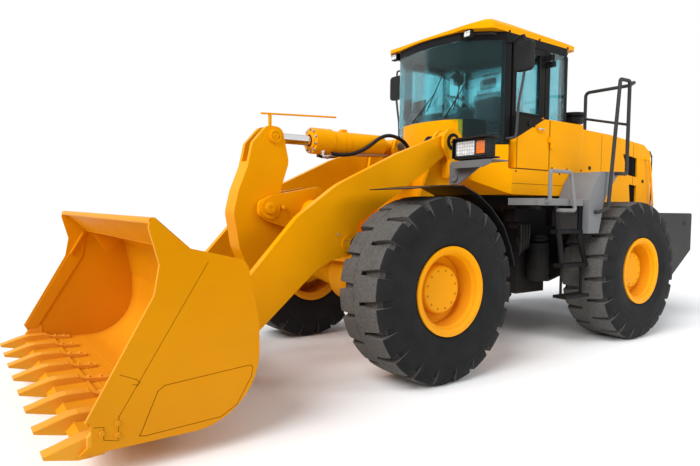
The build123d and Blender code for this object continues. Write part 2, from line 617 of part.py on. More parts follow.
def steer_cylinder(side):
    """Barrel and rod of one steering cylinder, side +1 left and -1 right."""
    (bx, by), (ex, ey) = STEER_BASE, STEER_EYE
    length = hypot(ex - bx, ey - by)

    def place(distance):
        share = distance / length
        return (bx + (ex - bx) * share, side * (by + (ey - by) * share), STEER_Z)

    half = STEER_EYE_HALF
    barrel = upright(bx, side * by, STEER_Z - half, STEER_Z + half, 42)
    barrel += bar(place(30), place(66), half - 1) + bar(place(65), place(STEER_BARREL_END), STEER_RADIUS)
    barrel -= bar(place(80), place(STEER_BARREL_END + 1), STEER_ROD_RADIUS + RUNNING)
    barrel -= upright(bx, side * by, STEER_Z - 60, STEER_Z + 60, STEER_PIN + RUNNING)
    rod = upright(ex, side * ey, STEER_Z - half, STEER_Z + half, 38)
    rod -= upright(ex, side * ey, STEER_Z - 60, STEER_Z + 60, STEER_PIN + RUNNING)
    rod += bar(place(length - 66), place(length - 30), half - 1)
    rod += bar(place(length - STEER_ROD_LENGTH), place(length - 65), STEER_ROD_RADIUS)
    return barrel, rod


def pins():
    """The linkage's loose pins; each one is a node of its own."""
    head = 12
    rocker_pin = across_pin(ROCKER_PIN, -CHEEK_OUT - 14 - head, CHEEK_OUT + 14 + head, PIN_RADIUS + 5)
    bucket_pin = across_pin(BUCKET_PIN, ARM_INNER - 60, ARM_OUTER + 60, PIN_RADIUS)
    link_pin = across_pin(LINK_PIN, -ROCKER_HALF - head, ROCKER_HALF + head, PIN_RADIUS - 10)
    tilt_pin = across_pin(TILT_BASE, -62 - PLATE - head, 62 + PLATE + head, PIN_RADIUS - 5)
    return {"rocker_pin": rocker_pin, "bucket_pins": both(bucket_pin), "link_pin": link_pin,
            "tilt_base_pin": tilt_pin}


# ---- rear frame -------------------------------------------------------------------------------
def rear_chassis():
    front = -350
    box = block((-700, front), (-220, 220), (470, 1290)) - block((-660, front - 40), (-180, 180), (510, 1250))
    frame = box + steer_lugs(STEER_BASE, -705, True)
    for level in HINGE_LEVELS:
        pin = upright(0, 0, level - LUG_HALF - 45, level + LUG_HALF + 45, HINGE_PIN_RADIUS)
        frame += pin
        for low in (level - LUG_HALF - 5 - PLATE, level + LUG_HALF + 5):
            fork = prism([(front - 10, -240, 0), (-60, -110, 60), (110, -110, 109), (110, 110, 109),
                          (-60, 110, 60), (front - 10, 240, 0)], "Z", low, low + PLATE)
            frame += fork
    rail = prism([(-600, 800, 60), (-600, 1290, 60), (-3050, 1290, 60), (-3050, 1000, 60),
                  (-2000, PAD_Z, 60), (-1200, PAD_Z, 60), (-1000, 800, 60)],
                 "Y", RAIL_INNER - 60, RAIL_INNER + 20)
    cross = block((-705, -600), (-RAIL_INNER, RAIL_INNER), (880, 1290))
    cross += block((-740, -700), (-RAIL_INNER, RAIL_INNER), (740, 1290))
    back = block((-3050, -3010), (-RAIL_INNER, RAIL_INNER), (1040, 1290))
    for x in (-2380, -1420):
        back += block((x, x + 100), (-RAIL_INNER, RAIL_INNER), (1250, 1290))
    saddle = block((REAR_AXLE_X - 260, REAR_AXLE_X + 260), (-RAIL_INNER, RAIL_INNER), (1100, 1140))
    beam = block((-1050, 190), (RAIL_INNER - 80, RAIL_INNER), (1500, TRAY_Z))
    for x in (-1040, -740):
        beam += block((x, x + 100), (RAIL_INNER - 60, RAIL_INNER), (1280, 1500))
    for x in BRACKET_X:
        beam += block((x - 30, x + 30), (RAIL_INNER - 10, PLATFORM_HALF - 60), (1500, PLATFORM_Z - PLATFORM_DEEP))
    return frame + rail + mirrored(rail) + cross + back + saddle + beam + mirrored(beam)


def rear_pads():
    """The cradle that carries the rear frame on the rear axle."""
    y = (RAIL_INNER - 120, RAIL_INNER + 40)
    pad = block((REAR_AXLE_X - 170, REAR_AXLE_X + 170), y, (AXLE_Z, PAD_Z))
    return pad + mirrored(pad)


def counterweight():
    # share of the way from the front face to the rear face, Z, corner radius
    outline = ((0, 580, 0), (0, 1330, 0), (0.167, 1358, 0), (0.392, TOW_TOP, 20), (0.98, TOW_TOP, 0),
               (1, 1445, 0), (1, 960, 0), (0.42, 580, 0))
    rows = [(WEIGHT_FRONT_X + share * (REAR_END_X - WEIGHT_FRONT_X), z, corner) for share, z, corner in outline]
    mass = prism(rows, "Y", -WEIGHT_HALF, WEIGHT_HALF)
    arch = block((-2530, -2400), (700, WEIGHT_HALF + 10), (500, 1500))
    mass -= arch + mirrored(arch)
    mass -= block((-3050 - SEAT, -2400), (-RAIL_INNER - 20 - SEAT, RAIL_INNER + 20 + SEAT), (970, 1290 + SEAT))
    lamp = block((REAR_END_X - 1, REAR_END_X + 30), (780, 1000), (1190, 1320))
    mass -= lamp + mirrored(lamp)
    mass -= block((REAR_END_X - 1, TOW_X + 110), (-110, 110), (TOW_LOW, TOW_HIGH))
    mass -= block((REAR_END_X - 1, TOW_X + 140), (-150, 150), (500, TOW_FOOT))
    return mass - upright(TOW_X, 0, 500, 1600, TOW_RADIUS)


def tail_lamps():
    lamp = block((REAR_END_X, REAR_END_X + 30 - SEAT), (780 + SEAT, 1000 - SEAT), (1190 + SEAT, 1320 - SEAT))
    return both(lamp)


def engine_block():
    return block((-2380, -1300), (-330, 330), (1290, 2150))


def hood_block(grow):
    """The hood's outer shape, grown upward by a small amount."""
    rows = [(-1180, 1560, 0), (-1180, 2490 + grow, 0), (-2000, 2470 + grow, 0), (-2870, 2400 + grow, 0),
            (-3060, 2300, 0), (-3080, TOW_TOP, 0), (-2850, TOW_TOP, 0), (-2850, 1545, 0), (-2050, 1587, 0)]
    return prism(rows, "Y", -HOOD_HALF, HOOD_HALF)


# X, Z of the openings in the hood's sides
HOOD_VENTS = (((-2334, 2250), (-2699, 2206), (-2716, 1948), (-2478, 1971)),
              ((-2507, 1850), (-2702, 1834), (-2698, 1585), (-2546, 1594)))


def vent_rows(corners, scale):
    """A vent's outline, grown about its middle."""
    mid_x, mid_z = (sum(corner[i] for corner in corners) / len(corners) for i in (0, 1))
    return [(mid_x + (x - mid_x) * scale, mid_z + (z - mid_z) * scale, 15) for x, z in corners]


def side_grilles():
    """Dark plates behind the vents."""
    made = []
    for corners in HOOD_VENTS:
        made += solids_of(prism(vent_rows(corners, 1.1), "Y", HOOD_HALF - HOOD_WALL - 8, HOOD_HALF - HOOD_WALL))
    return both(Compound(made))


def hood():
    half = HOOD_HALF
    outer = hood_block(0)
    inner_rows = [(-1150, 2490 - HOOD_WALL, 0), (-2000, 2470 - HOOD_WALL, 0),
                  (-2860, 2400 - HOOD_WALL, 0), (-3030, 2280, 0), (-3100, 2280, 0), (-3100, 1600, 0),
                  (-3040, 1600, 0), (-3040, 1400, 0), (-1150, 1400, 0)]
    inner = prism(inner_rows, "Y", -half + HOOD_WALL, half - HOOD_WALL)
    y = -GRILLE_HALF - GRILLE_KNUCKLE
    low, high = 1535, 1595
    stand = upright(GRILLE_X, y, low, high, GRILLE_KNUCKLE) + upright(GRILLE_X, y, low, high + 50, HINGE_PIN)
    stand += block((GRILLE_X, -3060), (y - GRILLE_KNUCKLE, y + GRILLE_KNUCKLE), (low, high))
    made = outer - inner + stand
    for corners in HOOD_VENTS:
        vent = prism(vent_rows(corners, 1), "Y", half - HOOD_WALL - 1, half + 1)
        made -= vent + mirrored(vent)
    return made


def rear_grille():
    """The radiator door at the rear, with slots."""
    door = block((-3125, -3090), (-GRILLE_HALF, GRILLE_HALF), (1560, 2290))
    for i in range(9):
        z = 1640 + i * 66
        door -= block((-3130, -3085), (-GRILLE_HALF + 60, GRILLE_HALF - 60), (z, z + 36))
    y = -GRILLE_HALF - GRILLE_KNUCKLE
    hinge = upright(GRILLE_X, y, 1601, 2250, GRILLE_KNUCKLE)
    web = block((GRILLE_X - 12, GRILLE_X + 12), (y, -GRILLE_HALF + 5), (1601, 2250))
    return door + hinge + web - upright(GRILLE_X, y, 1600, 1660, HINGE_PIN + RUNNING)


def air_cleaner():
    x, y = -1600, 380
    stem = upright(x, y, 2430, 2600, 70) - hood_block(SEAT)
    bowl = upright(x, y, 2600, 2690, 125)
    cap = upright(x, y, 2690, 2730, 160)
    exhaust = upright(-1750, -330, 2430, 2900, 62) - hood_block(SEAT)
    return Compound([*solids_of(stem + bowl + cap), *solids_of(exhaust)])


def hinge_arm(low, inside, x_high):
    """A bored knuckle on the door's hinge line with the plate that carries it."""
    knuckle = upright(HINGE_X, HINGE_Y, low, low + KNUCKLE, KNUCKLE_RADIUS)
    knuckle += block((HINGE_X, x_high), (HINGE_Y - KNUCKLE_RADIUS, HINGE_Y), (low, low + KNUCKLE))
    knuckle += block((x_high - 20, x_high), (inside, HINGE_Y), (low, low + KNUCKLE))
    return knuckle - upright(HINGE_X, HINGE_Y, low - 1, low + KNUCKLE + 1, HINGE_PIN + RUNNING)


def hinge_stand(low, inside):
    """The fixed knuckle under a door knuckle, with the pin that enters it."""
    z = (low - SIDE_GAP - KNUCKLE, low - SIDE_GAP)
    stand = upright(HINGE_X, HINGE_Y, *z, KNUCKLE_RADIUS)
    stand += block((HINGE_X - 30, HINGE_X), (inside, HINGE_Y + KNUCKLE_RADIUS), z)
    return stand + upright(HINGE_X, HINGE_Y, z[0], low + KNUCKLE, HINGE_PIN)


def cab_body():
    half = BODY_HALF
    # X, Y, corner radius of the body seen from above
    plan = [(-1090, -half, 40), (205, -half, 20), (255, 55 - half, 20), (520, 285 - half, 60),
            (520, half - 285, 60), (255, half - 55, 20), (205, half, 20), (-1090, half, 40)]
    across = (-half - 25, half + 25)
    tray = prism(plan, "Z", TRAY_Z, SILL_Z - 5)
    tray -= prism([(1000, TRAY_Z - 1, 0), (195, TRAY_Z - 1, 0), (520, 1800, 0), (1000, 1800, 0)], "Y", *across)
    tray -= prism([(-700, TRAY_Z - 1, 0), (-1100, TRAY_Z - 1, 0), (-1100, 1880, 0)], "Y", *across)
    wall = prism(plan, "Z", SILL_Z - 5, BELT_Z)
    inner = [(CAB_REAR_X + 30, -half + BODY_WALL, 20), (190, -half + BODY_WALL, 20), (235, 80 - half, 20),
             (490, 305 - half, 60), (490, half - 305, 60), (235, half - 80, 20), (190, half - BODY_WALL, 20),
             (CAB_REAR_X + 30, half - BODY_WALL, 20)]
    wall -= prism(inner, "Z", SILL_Z - 5, BELT_Z + 1)
    wall -= block((160, 700), across, (QUARTER_Z, BELT_Z + 1))
    wall -= block((DOOR_REAR_X, DOOR_FRONT_X + 5), (500, half + 25), (SILL_Z, BELT_Z + 1))
    nose_plan = [(300, -600, 0), (470, -560, 120), (640, -330, 300), (700, 0, 900), (640, 330, 300),
                 (470, 560, 120), (300, 600, 0)]
    nose = prism(nose_plan, "Z", 2060, NOSE_Z)
    nose_room = [(270, -560, 0), (450, -520, 100), (600, -310, 260), (655, 0, 700), (600, 310, 260),
                 (450, 520, 100), (270, 560, 0)]
    nose -= prism(nose_room, "Z", 2100, NOSE_Z + 1)
    wall -= block((300, 495), (-560, 560), (2100, 2180))
    return tray + wall + nose + hinge_stand(HINGE_KNUCKLES[0], BODY_HALF - 10)


def glass_line(grow):
    """Windscreen line seen from above: X, Y, corner radius."""
    return [(DOOR_FRONT_X - 40, CAB_HALF + grow, 0), (DOOR_FRONT_X + 15, CAB_HALF + grow, 0),
            (600 + grow, 470, 60), (668 + grow, 0, 1400), (600 + grow, -470, 60),
            (DOOR_FRONT_X + 15, -CAB_HALF - grow, 0), (DOOR_FRONT_X - 40, -CAB_HALF - grow, 0)]


def cab_glass():
    """Windscreen with quarter lights, corner windows, right side window and rear window."""
    thick = 8
    low, high = BELT_Z + SEAT, RING_Z - SEAT
    front = prism(glass_line(0), "Z", QUARTER_Z + SEAT, high) - prism(glass_line(-thick), "Z", 2100, 3300)
    front -= block((100, DOOR_FRONT_X + 22), (-900, 900), (2100, 3300))
    front -= block((500, 800), (-475, 475), (2100, NOSE_Z + SEAT))
    front -= prism([(100, -600, 0), (470, -562, 0), (640, -330, 0), (640, 330, 0), (470, 562, 0), (100, 600, 0)],
                   "Z", 2100, NOSE_Z + SEAT)
    corner = block((CAB_REAR_X + 8, -510), (CAB_HALF - 18, CAB_HALF - 10), (low, high))
    rear = block((CAB_REAR_X + 20, CAB_REAR_X + 28), (-720, 720), (low, high))
    side = block((DOOR_REAR_X + 5, DOOR_FRONT_X - 70), (-CAB_HALF + 10, -CAB_HALF + 18), (low, high))
    return Compound([*solids_of(front), *solids_of(corner), *solids_of(mirrored(corner)), *solids_of(rear),
                     *solids_of(side)])


def cab_pillars():
    """Black frame above the belt: posts and the ring under the roof."""
    ring_plan = [(CAB_REAR_X - 60, -CAB_HALF, 60), (DOOR_FRONT_X + 15, -CAB_HALF, 40), (600, -470, 60),
                 (668, 0, 1400), (600, 470, 60), (DOOR_FRONT_X + 15, CAB_HALF, 40),
                 (CAB_REAR_X - 60, CAB_HALF, 60)]
    ring = prism(ring_plan, "Z", RING_Z, ROOF_Z)
    ring -= prism([(CAB_REAR_X + 60, -680, 60), (200, -680, 60), (500, -420, 60), (500, 420, 60),
                   (200, 680, 60), (CAB_REAR_X + 60, 680, 60)], "Z", RING_Z - 1, ROOF_Z + 1)
    posts = block((DOOR_FRONT_X - 65, DOOR_FRONT_X + 18), (CAB_HALF - 60, CAB_HALF), (QUARTER_Z, RING_Z))
    posts += block((-510, DOOR_REAR_X - 5), (CAB_HALF - 60, CAB_HALF), (BELT_Z, RING_Z))
    posts += block((CAB_REAR_X - 50, CAB_REAR_X + 5), (CAB_HALF - 90, CAB_HALF - 10), (BELT_Z, RING_Z))
    return ring + posts + mirrored(posts) + hinge_stand(HINGE_KNUCKLES[1], CAB_HALF - 10)


def cab_roof():
    plan = [(-990, -800, 60), (450, -800, 60), (650, -590, 40), (640, -440, 60), (690, 0, 1400),
            (640, 440, 60), (650, 590, 40), (450, 800, 60), (-990, 800, 60)]
    top = prism(plan, "Z", ROOF_Z, ROOF_Z + 95)
    top = chamfer(top.faces().sort_by(Axis.Z)[-1].edges(), length=38, length2=30)
    slope = prism([(-1100, ROOF_Z + 40, 0), (448, ROOF_Z + 109, 0), (800, ROOF_Z - 20, 0), (800, 3600, 0),
                   (-1100, 3600, 0)], "Y", -900, 900)
    return top - slope


def roof_lamps():
    """Work lamps under the front corners of the roof."""
    return both(block((545, 600), (535, 625), (ROOF_Z - 75, ROOF_Z)))


DOOR_IN, DOOR_OUT = CAB_HALF - 45, CAB_HALF
WINDOW = ((-325, 75), (2530, RING_Z - 70))     # X and Z of the door's window


def cab_door():
    """Left door: lower panel and window frame, hinged on its rear edge."""
    x = (DOOR_REAR_X + 6, DOOR_FRONT_X - 100)
    frame = block(x, (DOOR_IN, DOOR_OUT), (SILL_Z + 6, RING_Z - 6))
    panel = block(x, (DOOR_OUT - 10, BODY_HALF - 3), (SILL_Z + 6, BELT_Z - 4))
    door = frame + panel - block(WINDOW[0], (DOOR_IN - 1, DOOR_OUT + 1), WINDOW[1])
    handle = block((-300, -200), (BODY_HALF - 3, BODY_HALF + 12), (2330, 2400))
    door += handle
    low, high = HINGE_KNUCKLES
    door += hinge_arm(low, BODY_HALF - 20, DOOR_REAR_X + 30)
    return door + hinge_arm(high, DOOR_OUT - 10, DOOR_REAR_X + 30)


def door_glass():
    (x0, x1), (z0, z1) = WINDOW
    return block((x0 + SEAT, x1 - SEAT), (DOOR_IN + 18, DOOR_IN + 26), (z0 + SEAT, z1 - SEAT))


def driver_seat():
    plinth = block((-430, -30), (-190, 190), (SILL_Z - 5, 2230))
    pan = block((-460, 10), (-235, 235), (2230, 2262))
    shell = block((-500, -462), (-200, 200), (2262, 2900)) + block((-500, -455), (-200, 200), (2230, 2262))
    arm = block((-470, -120), (-290, -240), (2460, 2500)) + block((-500, -463), (-290, -199), (2420, 2500))
    return plinth + pan + shell + arm + mirrored(arm)


def seat_cushions():
    """Seat, back and headrest, each a plain soft block."""
    seat = block((-455, 10), (-232, 232), (2262 + SEAT, 2375))
    back = block((-462 + SEAT, -350), (-225, 225), (2378, 2930))
    head = block((-452, -365), (-130, 130), (2935, 3095))
    stays = head + block((-485, -452), (-60, -40), (2901, 3000)) + block((-485, -452), (40, 60), (2901, 3000))
    return Compound([*solids_of(seat), *solids_of(back), *solids_of(stays)])


WHEEL_CENTRE = (95, 2655)


def driver_controls():
    """Floor column, dash cowl and steering wheel."""
    cowl = prism([(235, SILL_Z - 5, 0), (430, SILL_Z - 5, 0), (430, 2500, 60), (330, 2590, 60), (215, 2560, 60),
                  (180, 2300, 60)], "Y", -210, 210)
    cowl -= prism([(300, 2040, 0), (700, 2040, 0), (700, 2120, 0), (300, 2120, 0)], "Y", -300, 300)
    x, z = WHEEL_CENTRE
    column = bar((240, 0, 2520), (x + 15, 0, z - 12), 34)
    ring = Pos(x, 0, z) * Rot(0, -40, 0) * Torus(185, 16)
    spokes = Pos(x, 0, z) * Rot(0, -40, 0) * (Box(370, 40, 14) + Box(40, 370, 14) + Cylinder(45, 30))
    return cowl + column + ring + spokes


def mirrors():
    """Door mirror heads on tubes that also serve as grab rails."""
    y = 1000
    head = block((172, 228), (890, 1110), (RING_Z - 350, RING_Z - 40))
    tube = pipe([(200, CAB_HALF, RING_Z - 25), (200, 860, RING_Z - 25), (200, y, RING_Z + 22),
                 (200, y, RING_Z - 90)], 12, 20)
    rail = pipe([(200, y, RING_Z - 340), (200, 940, 2600), (205, 930, 2420), (212, 925, 2232), (212, CAB_HALF, 2232)],
                14, 50)
    return both(head + tube + rail)


def platforms():
    """Walkway beside the cab with its skirts, cut clear of the swinging front frame."""
    inner = BODY_HALF + 5
    plan = [(-600, inner, 0), (255, inner, 0), (85, PLATFORM_HALF, 0), (-600, PLATFORM_HALF, 0)]
    room = [(-590, inner + 10, 0), (240, inner + 10, 0), (77, PLATFORM_HALF - 10, 0),
            (-590, PLATFORM_HALF - 10, 0)]
    deck = prism(plan, "Z", PLATFORM_Z - PLATFORM_DEEP, PLATFORM_Z)
    deck -= prism(room, "Z", PLATFORM_Z - PLATFORM_DEEP - 1, PLATFORM_Z - 8)
    for x in BRACKET_X:
        deck += block((x - 30, x + 30), (inner, PLATFORM_HALF - 60),
                      (PLATFORM_Z - PLATFORM_DEEP, PLATFORM_Z - 4))
    return both(deck)


HANG_Z = 560


def ladders():
    """Stiles, treads and the lower tread on its hangers."""
    front = [(-95, 1540, 0), (-165, 1540, 0), (-305, 905, 0), (-235, 905, 0)]
    rear = [(-530, 1540, 0), (-600, 1540, 0), (-600, 1245, 0), (-725, 905, 0), (-655, 905, 0), (-530, 1200, 0)]
    made = prism(front, "Y", 1172, 1190) + prism(rear, "Y", 1172, 1190)
    made += block((-600, -160), (1100, 1198), (1245, 1285))
    made += block((-690, -235), (1100, 1215), (885, 925))
    for x in (-290, -650):
        made += block((x - 16, x + 16), (1150, 1162), (HANG_Z, 900))
    made += block((-690, -250), (1090, 1240), (HANG_Z, HANG_Z + 30))
    return both(made)


def rear_fenders():
    """Stepped mudguards between the walkway and the deck beside the hood."""
    inner, outer = BODY_HALF + 10, 1260
    rows = [(-600, 1245, 0), (-600, 1600, 0), (-700, 1785, 0), (-820, 1915, 0), (-1190, 1930, 0),
            (-1130, 1870, 0), (-960, 1690, 0), (-880, 1560, 0), (-800, 1245, 0)]
    room = [(-610, 1235, 0), (-610, 1596, 0), (-708, 1779, 0), (-826, 1905, 0), (-1175, 1920, 0),
            (-1300, 1900, 0), (-1300, 1235, 0)]
    box = prism(rows, "Y", inner, outer) - prism(room, "Y", inner - 1, outer - 10)
    deck = block((-1240, -1115), (HOOD_HALF, outer), (1922, 1930))
    return both(box + deck)


def handrails():
    """Tube rails on the walkway and the deck."""
    y = 1310
    front = pipe([(-712, 1260, 1476), (-712, y, 1476), (-888, y, 1520), (-1050, y, 2935), (-1245, y, 2940),
                  (-1240, y, 1905), (-1098, y, 1905), (-1098, 1260, 1905)], RAIL_RADIUS, 28)
    cross = pipe([(-1240, y, 2905), (-1340, y, 2936), (-1460, y - 120, 2938), (-1465, 640, 2938),
                  (-1465, 640, 2484)], RAIL_RADIUS, 50)
    mid = bar((-1243, y, 2455), (-1465, 640, 2620), 15)
    skirt = PLATFORM_HALF + SEAT / 2
    loop = pipe([(70, skirt, 1572), (70, 1245, 1572), (70, 1245, 1885), (-280, 1245, 1885), (-370, 1245, 1490),
                 (-145, 1245, 1490), (-145, 1190, 1490)], RAIL_RADIUS, 24)
    return both(front + cross + mid), both(loop)


def side_tanks():
    tank = block((-715, -215), (RAIL_INNER + 20, 640), (545, 1500))
    canister = upright(-450, 745, 700, 1120, 118)
    return both(tank + canister)


# ---- write ------------------------------------------------------------------------------------
def build_front():
    save("front_chassis", front_chassis())
    save("front_axle", axle(FRONT_AXLE_X, -1) + axle_pads(FRONT_AXLE_X))
    save("front_fenders", front_fenders())
    save("headlamps", headlamps())


def build_loader():
    save("boom", boom())
    save("rocker", rocker())
    save("link", link())
    save("bucket", bucket())
    save("bucket_teeth", bucket_teeth())
    save("lift_barrels", both(lift_barrel()))
    save("lift_rods", both(lift_rod()))
    save("tilt_barrel", tilt_barrel())
    save("tilt_stop_tube", tilt_stop_tube())
    save("tilt_rod", tilt_rod())
    save("level_indicator", level_indicator())
    for node, shape in pins().items():
        save(node, shape)


def build_rear():
    save("rear_chassis", rear_chassis())
    save("rear_axle", axle(REAR_AXLE_X, 1) + rear_pads())
    save("counterweight", counterweight())
    save("engine_block", engine_block())
    save("hood", hood())
    save("side_grilles", side_grilles())
    save("rear_grille", rear_grille())
    save("air_cleaner", air_cleaner())
    save("cab_body", cab_body())
    save("cab_glass", cab_glass())
    save("cab_pillars", cab_pillars())
    save("cab_roof", cab_roof())
    save("roof_lamps", roof_lamps())
    save("tail_lamps", tail_lamps())
    save("cab_door", cab_door())
    save("door_glass", door_glass())
    save("driver_seat", driver_seat())
    save("seat_cushions", seat_cushions())
    save("driver_controls", driver_controls())
    save("mirrors", mirrors())
    save("platforms", platforms())
    save("ladders", ladders())
    save("rear_fenders", rear_fenders())
    save("side_tanks", side_tanks())
    rails, loops = handrails()
    save("handrails", rails)
    save("walkway_rails", loops)


def build_steering():
    for name, side in (("left", 1), ("right", -1)):
        barrel, rod = steer_cylinder(side)
        save(f"steer_barrel_{name}", barrel)
        save(f"steer_rod_{name}", rod)


build_wheels()
build_front()
build_loader()
build_rear()
build_steering()
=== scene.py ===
"""The wheel loader's looks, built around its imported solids."""
import math

import bmesh
import bpy
from mathutils import Matrix, Vector


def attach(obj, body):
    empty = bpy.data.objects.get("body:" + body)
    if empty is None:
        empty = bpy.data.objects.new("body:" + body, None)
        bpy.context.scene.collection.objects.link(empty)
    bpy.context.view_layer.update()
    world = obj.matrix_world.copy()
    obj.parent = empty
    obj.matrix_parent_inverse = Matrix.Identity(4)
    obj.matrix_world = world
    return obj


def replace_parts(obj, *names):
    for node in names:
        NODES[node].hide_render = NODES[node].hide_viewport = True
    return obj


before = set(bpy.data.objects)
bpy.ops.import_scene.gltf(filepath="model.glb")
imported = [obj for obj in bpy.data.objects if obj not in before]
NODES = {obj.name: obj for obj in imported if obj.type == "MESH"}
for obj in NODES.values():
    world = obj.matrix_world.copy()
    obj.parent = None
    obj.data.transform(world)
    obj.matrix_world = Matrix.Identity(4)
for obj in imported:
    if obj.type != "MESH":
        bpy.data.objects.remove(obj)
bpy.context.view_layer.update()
MM = 0.001
MIDDLE_X = 575                      # places below are in mm with X from the articulation, as in the solids
WHEEL_X, WHEEL_Y, TYRE_RADIUS = 1550, 1095, 800


# ---- shader maths ----
class Val:
    """A shader socket that adds Math nodes when it is used in an expression."""

    def __init__(self, tree, socket):
        self.tree, self.socket = tree, socket

    def _math(self, operation, *values):
        sockets = {str(i): v for i, v in enumerate(values)}
        return self.tree.node("Math", "Value", {"operation": operation}, **sockets)

    def __add__(self, other):
        return self._math("ADD", self, other)

    def __radd__(self, other):
        return self._math("ADD", other, self)

    def __sub__(self, other):
        return self._math("SUBTRACT", self, other)

    def __rsub__(self, other):
        return self._math("SUBTRACT", other, self)

    def __mul__(self, other):
        return self._math("MULTIPLY", self, other)

    def __rmul__(self, other):
        return self._math("MULTIPLY", other, self)

    def clamp(self, low, high):
        """0 at low, 1 at high, straight between."""
        ends = {"Value": self, "From Min": low, "From Max": high}
        return self.tree.node("MapRange", "Result", {"clamp": True}, **ends)


class Finish:
    """One material with its node tree."""

    def __init__(self, name):
        self.material = bpy.data.materials.new(name)
        self.material.use_nodes = True
        self.nodes = self.material.node_tree.nodes
        self.links = self.material.node_tree.links
        self.shader = self.nodes["Principled BSDF"]
        self.place = self.node("TexCoord", "Object")

    def node(self, kind, output, settings=(), **sockets):
        """A shader node: its settings first, then its sockets' values or links."""
        made = self.nodes.new("ShaderNode" + kind)
        for key, value in dict(settings).items():
            setattr(made, key, value)
        for key, value in sockets.items():
            socket = made.inputs[int(key)] if key.isdigit() else made.inputs[key]
            if isinstance(value, Val):
                self.links.new(value.socket, socket)
            else:
                socket.default_value = value
        return Val(self, made.outputs[output])

    def noise(self, scale, detail=4.0, rough=0.55, along=None):
        place = self.place if along is None else self.node(
            "VectorMath", "Vector", {"operation": "MULTIPLY"}, **{"0": self.place, "1": along})
        return self.node("TexNoise", "Fac", Vector=place, Scale=scale, Detail=detail, Roughness=rough)

    def mix(self, share, low, high):
        """A colour between two colours."""
        low, high = ((*c, 1) if isinstance(c, tuple) and len(c) == 3 else c for c in (low, high))
        return self.node("Mix", 2, {"data_type": "RGBA"}, **{"0": share, "6": low, "7": high})

    def axis(self, index):
        """How far along X, Y or Z a place lies, in metres."""
        return self.node("SeparateXYZ", index, **{"0": self.place})

    def facing(self, index):
        """How much a surface faces along X, Y or Z."""
        return self.node("SeparateXYZ", index, **{"0": self.node("NewGeometry", "Normal")})

    def edges(self, width):
        """1 on sharp edges, 0 on open surfaces."""
        soft = self.node("Bevel", "Normal", {"samples": 4}, Radius=width)
        true = self.node("NewGeometry", "Normal")
        alike = self.node("VectorMath", "Value", {"operation": "DOT_PRODUCT"}, **{"0": soft, "1": true})
        return alike.clamp(0.97, 0.80)

    def set(self, **values):
        """Constants and links of the shader's sockets, with _ for a blank."""
        for key, value in values.items():
            socket = self.shader.inputs[key.replace("_", " ")]
            if isinstance(value, Val):
                self.links.new(value.socket, socket)
            else:
                socket.default_value = (*value, 1) if isinstance(value, tuple) and len(value) == 3 else value
        return self

    def bump(self, height, strength, depth):
        self.set(Normal=self.node("Bump", "Normal", Height=height, Strength=strength, Distance=depth))
        return self


# ---- finishes ----
ENAMEL, ENAMEL_DEEP = (0.84, 0.345, 0.002), (0.79, 0.315, 0.002)
ENAMEL_SHINE, PLAIN_SHINE = (1.0, 0.6, 0.05), (1.0, 1.0, 1.0)
DUST = (0.36, 0.29, 0.19)


def paint(name, colour, deep, rough=0.34, dust=0.0, shine=0.08, worn=None):
    """Sprayed enamel: slight orange peel, uneven gloss, dust low down, bare metal on worn edges."""
    f = Finish(name)
    cloud = f.noise(1.7, 3.0)
    fine = f.noise(38.0, 5.0)
    base = f.mix(cloud.clamp(0.35, 0.7), colour, deep)
    if dust:
        low = 1 - f.axis(2).clamp(0.1, 1.1)
        base = f.mix((low * fine * dust).clamp(0.0, 1.0), base, DUST)
    if worn:
        base = f.mix(f.edges(0.004) * fine.clamp(0.45, 0.6) * 0.8, base, worn)
    tint = ENAMEL_SHINE if colour[0] > 8 * colour[2] else PLAIN_SHINE
    f.set(Base_Color=base, Roughness=fine * 0.14 + (rough - 0.07), IOR=1.45,
          Specular_IOR_Level=shine, Specular_Tint=tint)
    return f.bump(f.noise(420.0, 2.0), 0.04, 0.0005).material


def plastic(name, colour, pale, rough=0.5, grain=900.0, depth=0.0004):
    """Moulded black plastic with a fine grain and dry patches."""
    f = Finish(name)
    patch = f.noise(5.0, 5.0)
    base = f.mix(patch.clamp(0.45, 0.75), colour, pale)
    f.set(Base_Color=base, Roughness=patch * 0.2 + (rough - 0.1), IOR=1.47, Specular_IOR_Level=0.22)
    return f.bump(f.noise(grain, 2.0), 0.35, depth).material


def metal(name, colour, rough, brushed=(1.0, 1.0, 40.0), amount=0.2):
    """Bare or plated metal with drawn marks."""
    f = Finish(name)
    marks = f.noise(30.0, 6.0, 0.6, along=brushed)
    base = f.mix(marks.clamp(0.3, 0.8), colour, tuple(c * 0.72 for c in colour))
    f.set(Base_Color=base, Metallic=1.0, Roughness=marks * amount + (rough - amount / 2))
    return f.bump(marks, 0.08, 0.0004).material


def rubber(name):
    """Tyre rubber: grey and scuffed where it has rolled, black on the sidewalls."""
    f = Finish(name)
    patch = f.noise(6.0, 6.0)
    fine = f.noise(60.0, 4.0)
    wall = f.node("Math", "Value", {"operation": "ABSOLUTE"}, **{"0": f.facing(1)})
    tread = 1 - wall.clamp(0.35, 0.75)
    black = f.mix(patch.clamp(0.3, 0.75), (0.0085, 0.0087, 0.0092), (0.0150, 0.0153, 0.0160))
    scuffed = f.mix(fine.clamp(0.3, 0.7), (0.060, 0.058, 0.055), (0.115, 0.110, 0.102))
    base = f.mix((tread * (patch * 0.8 + 0.5)).clamp(0.2, 0.9), black, scuffed)
    f.set(Base_Color=base, Roughness=0.55 + fine * 0.3, IOR=1.5, Specular_IOR_Level=0.14)
    return f.bump(fine * 0.6 + f.noise(600.0, 2.0) * 0.4, 0.3, 0.0012).material


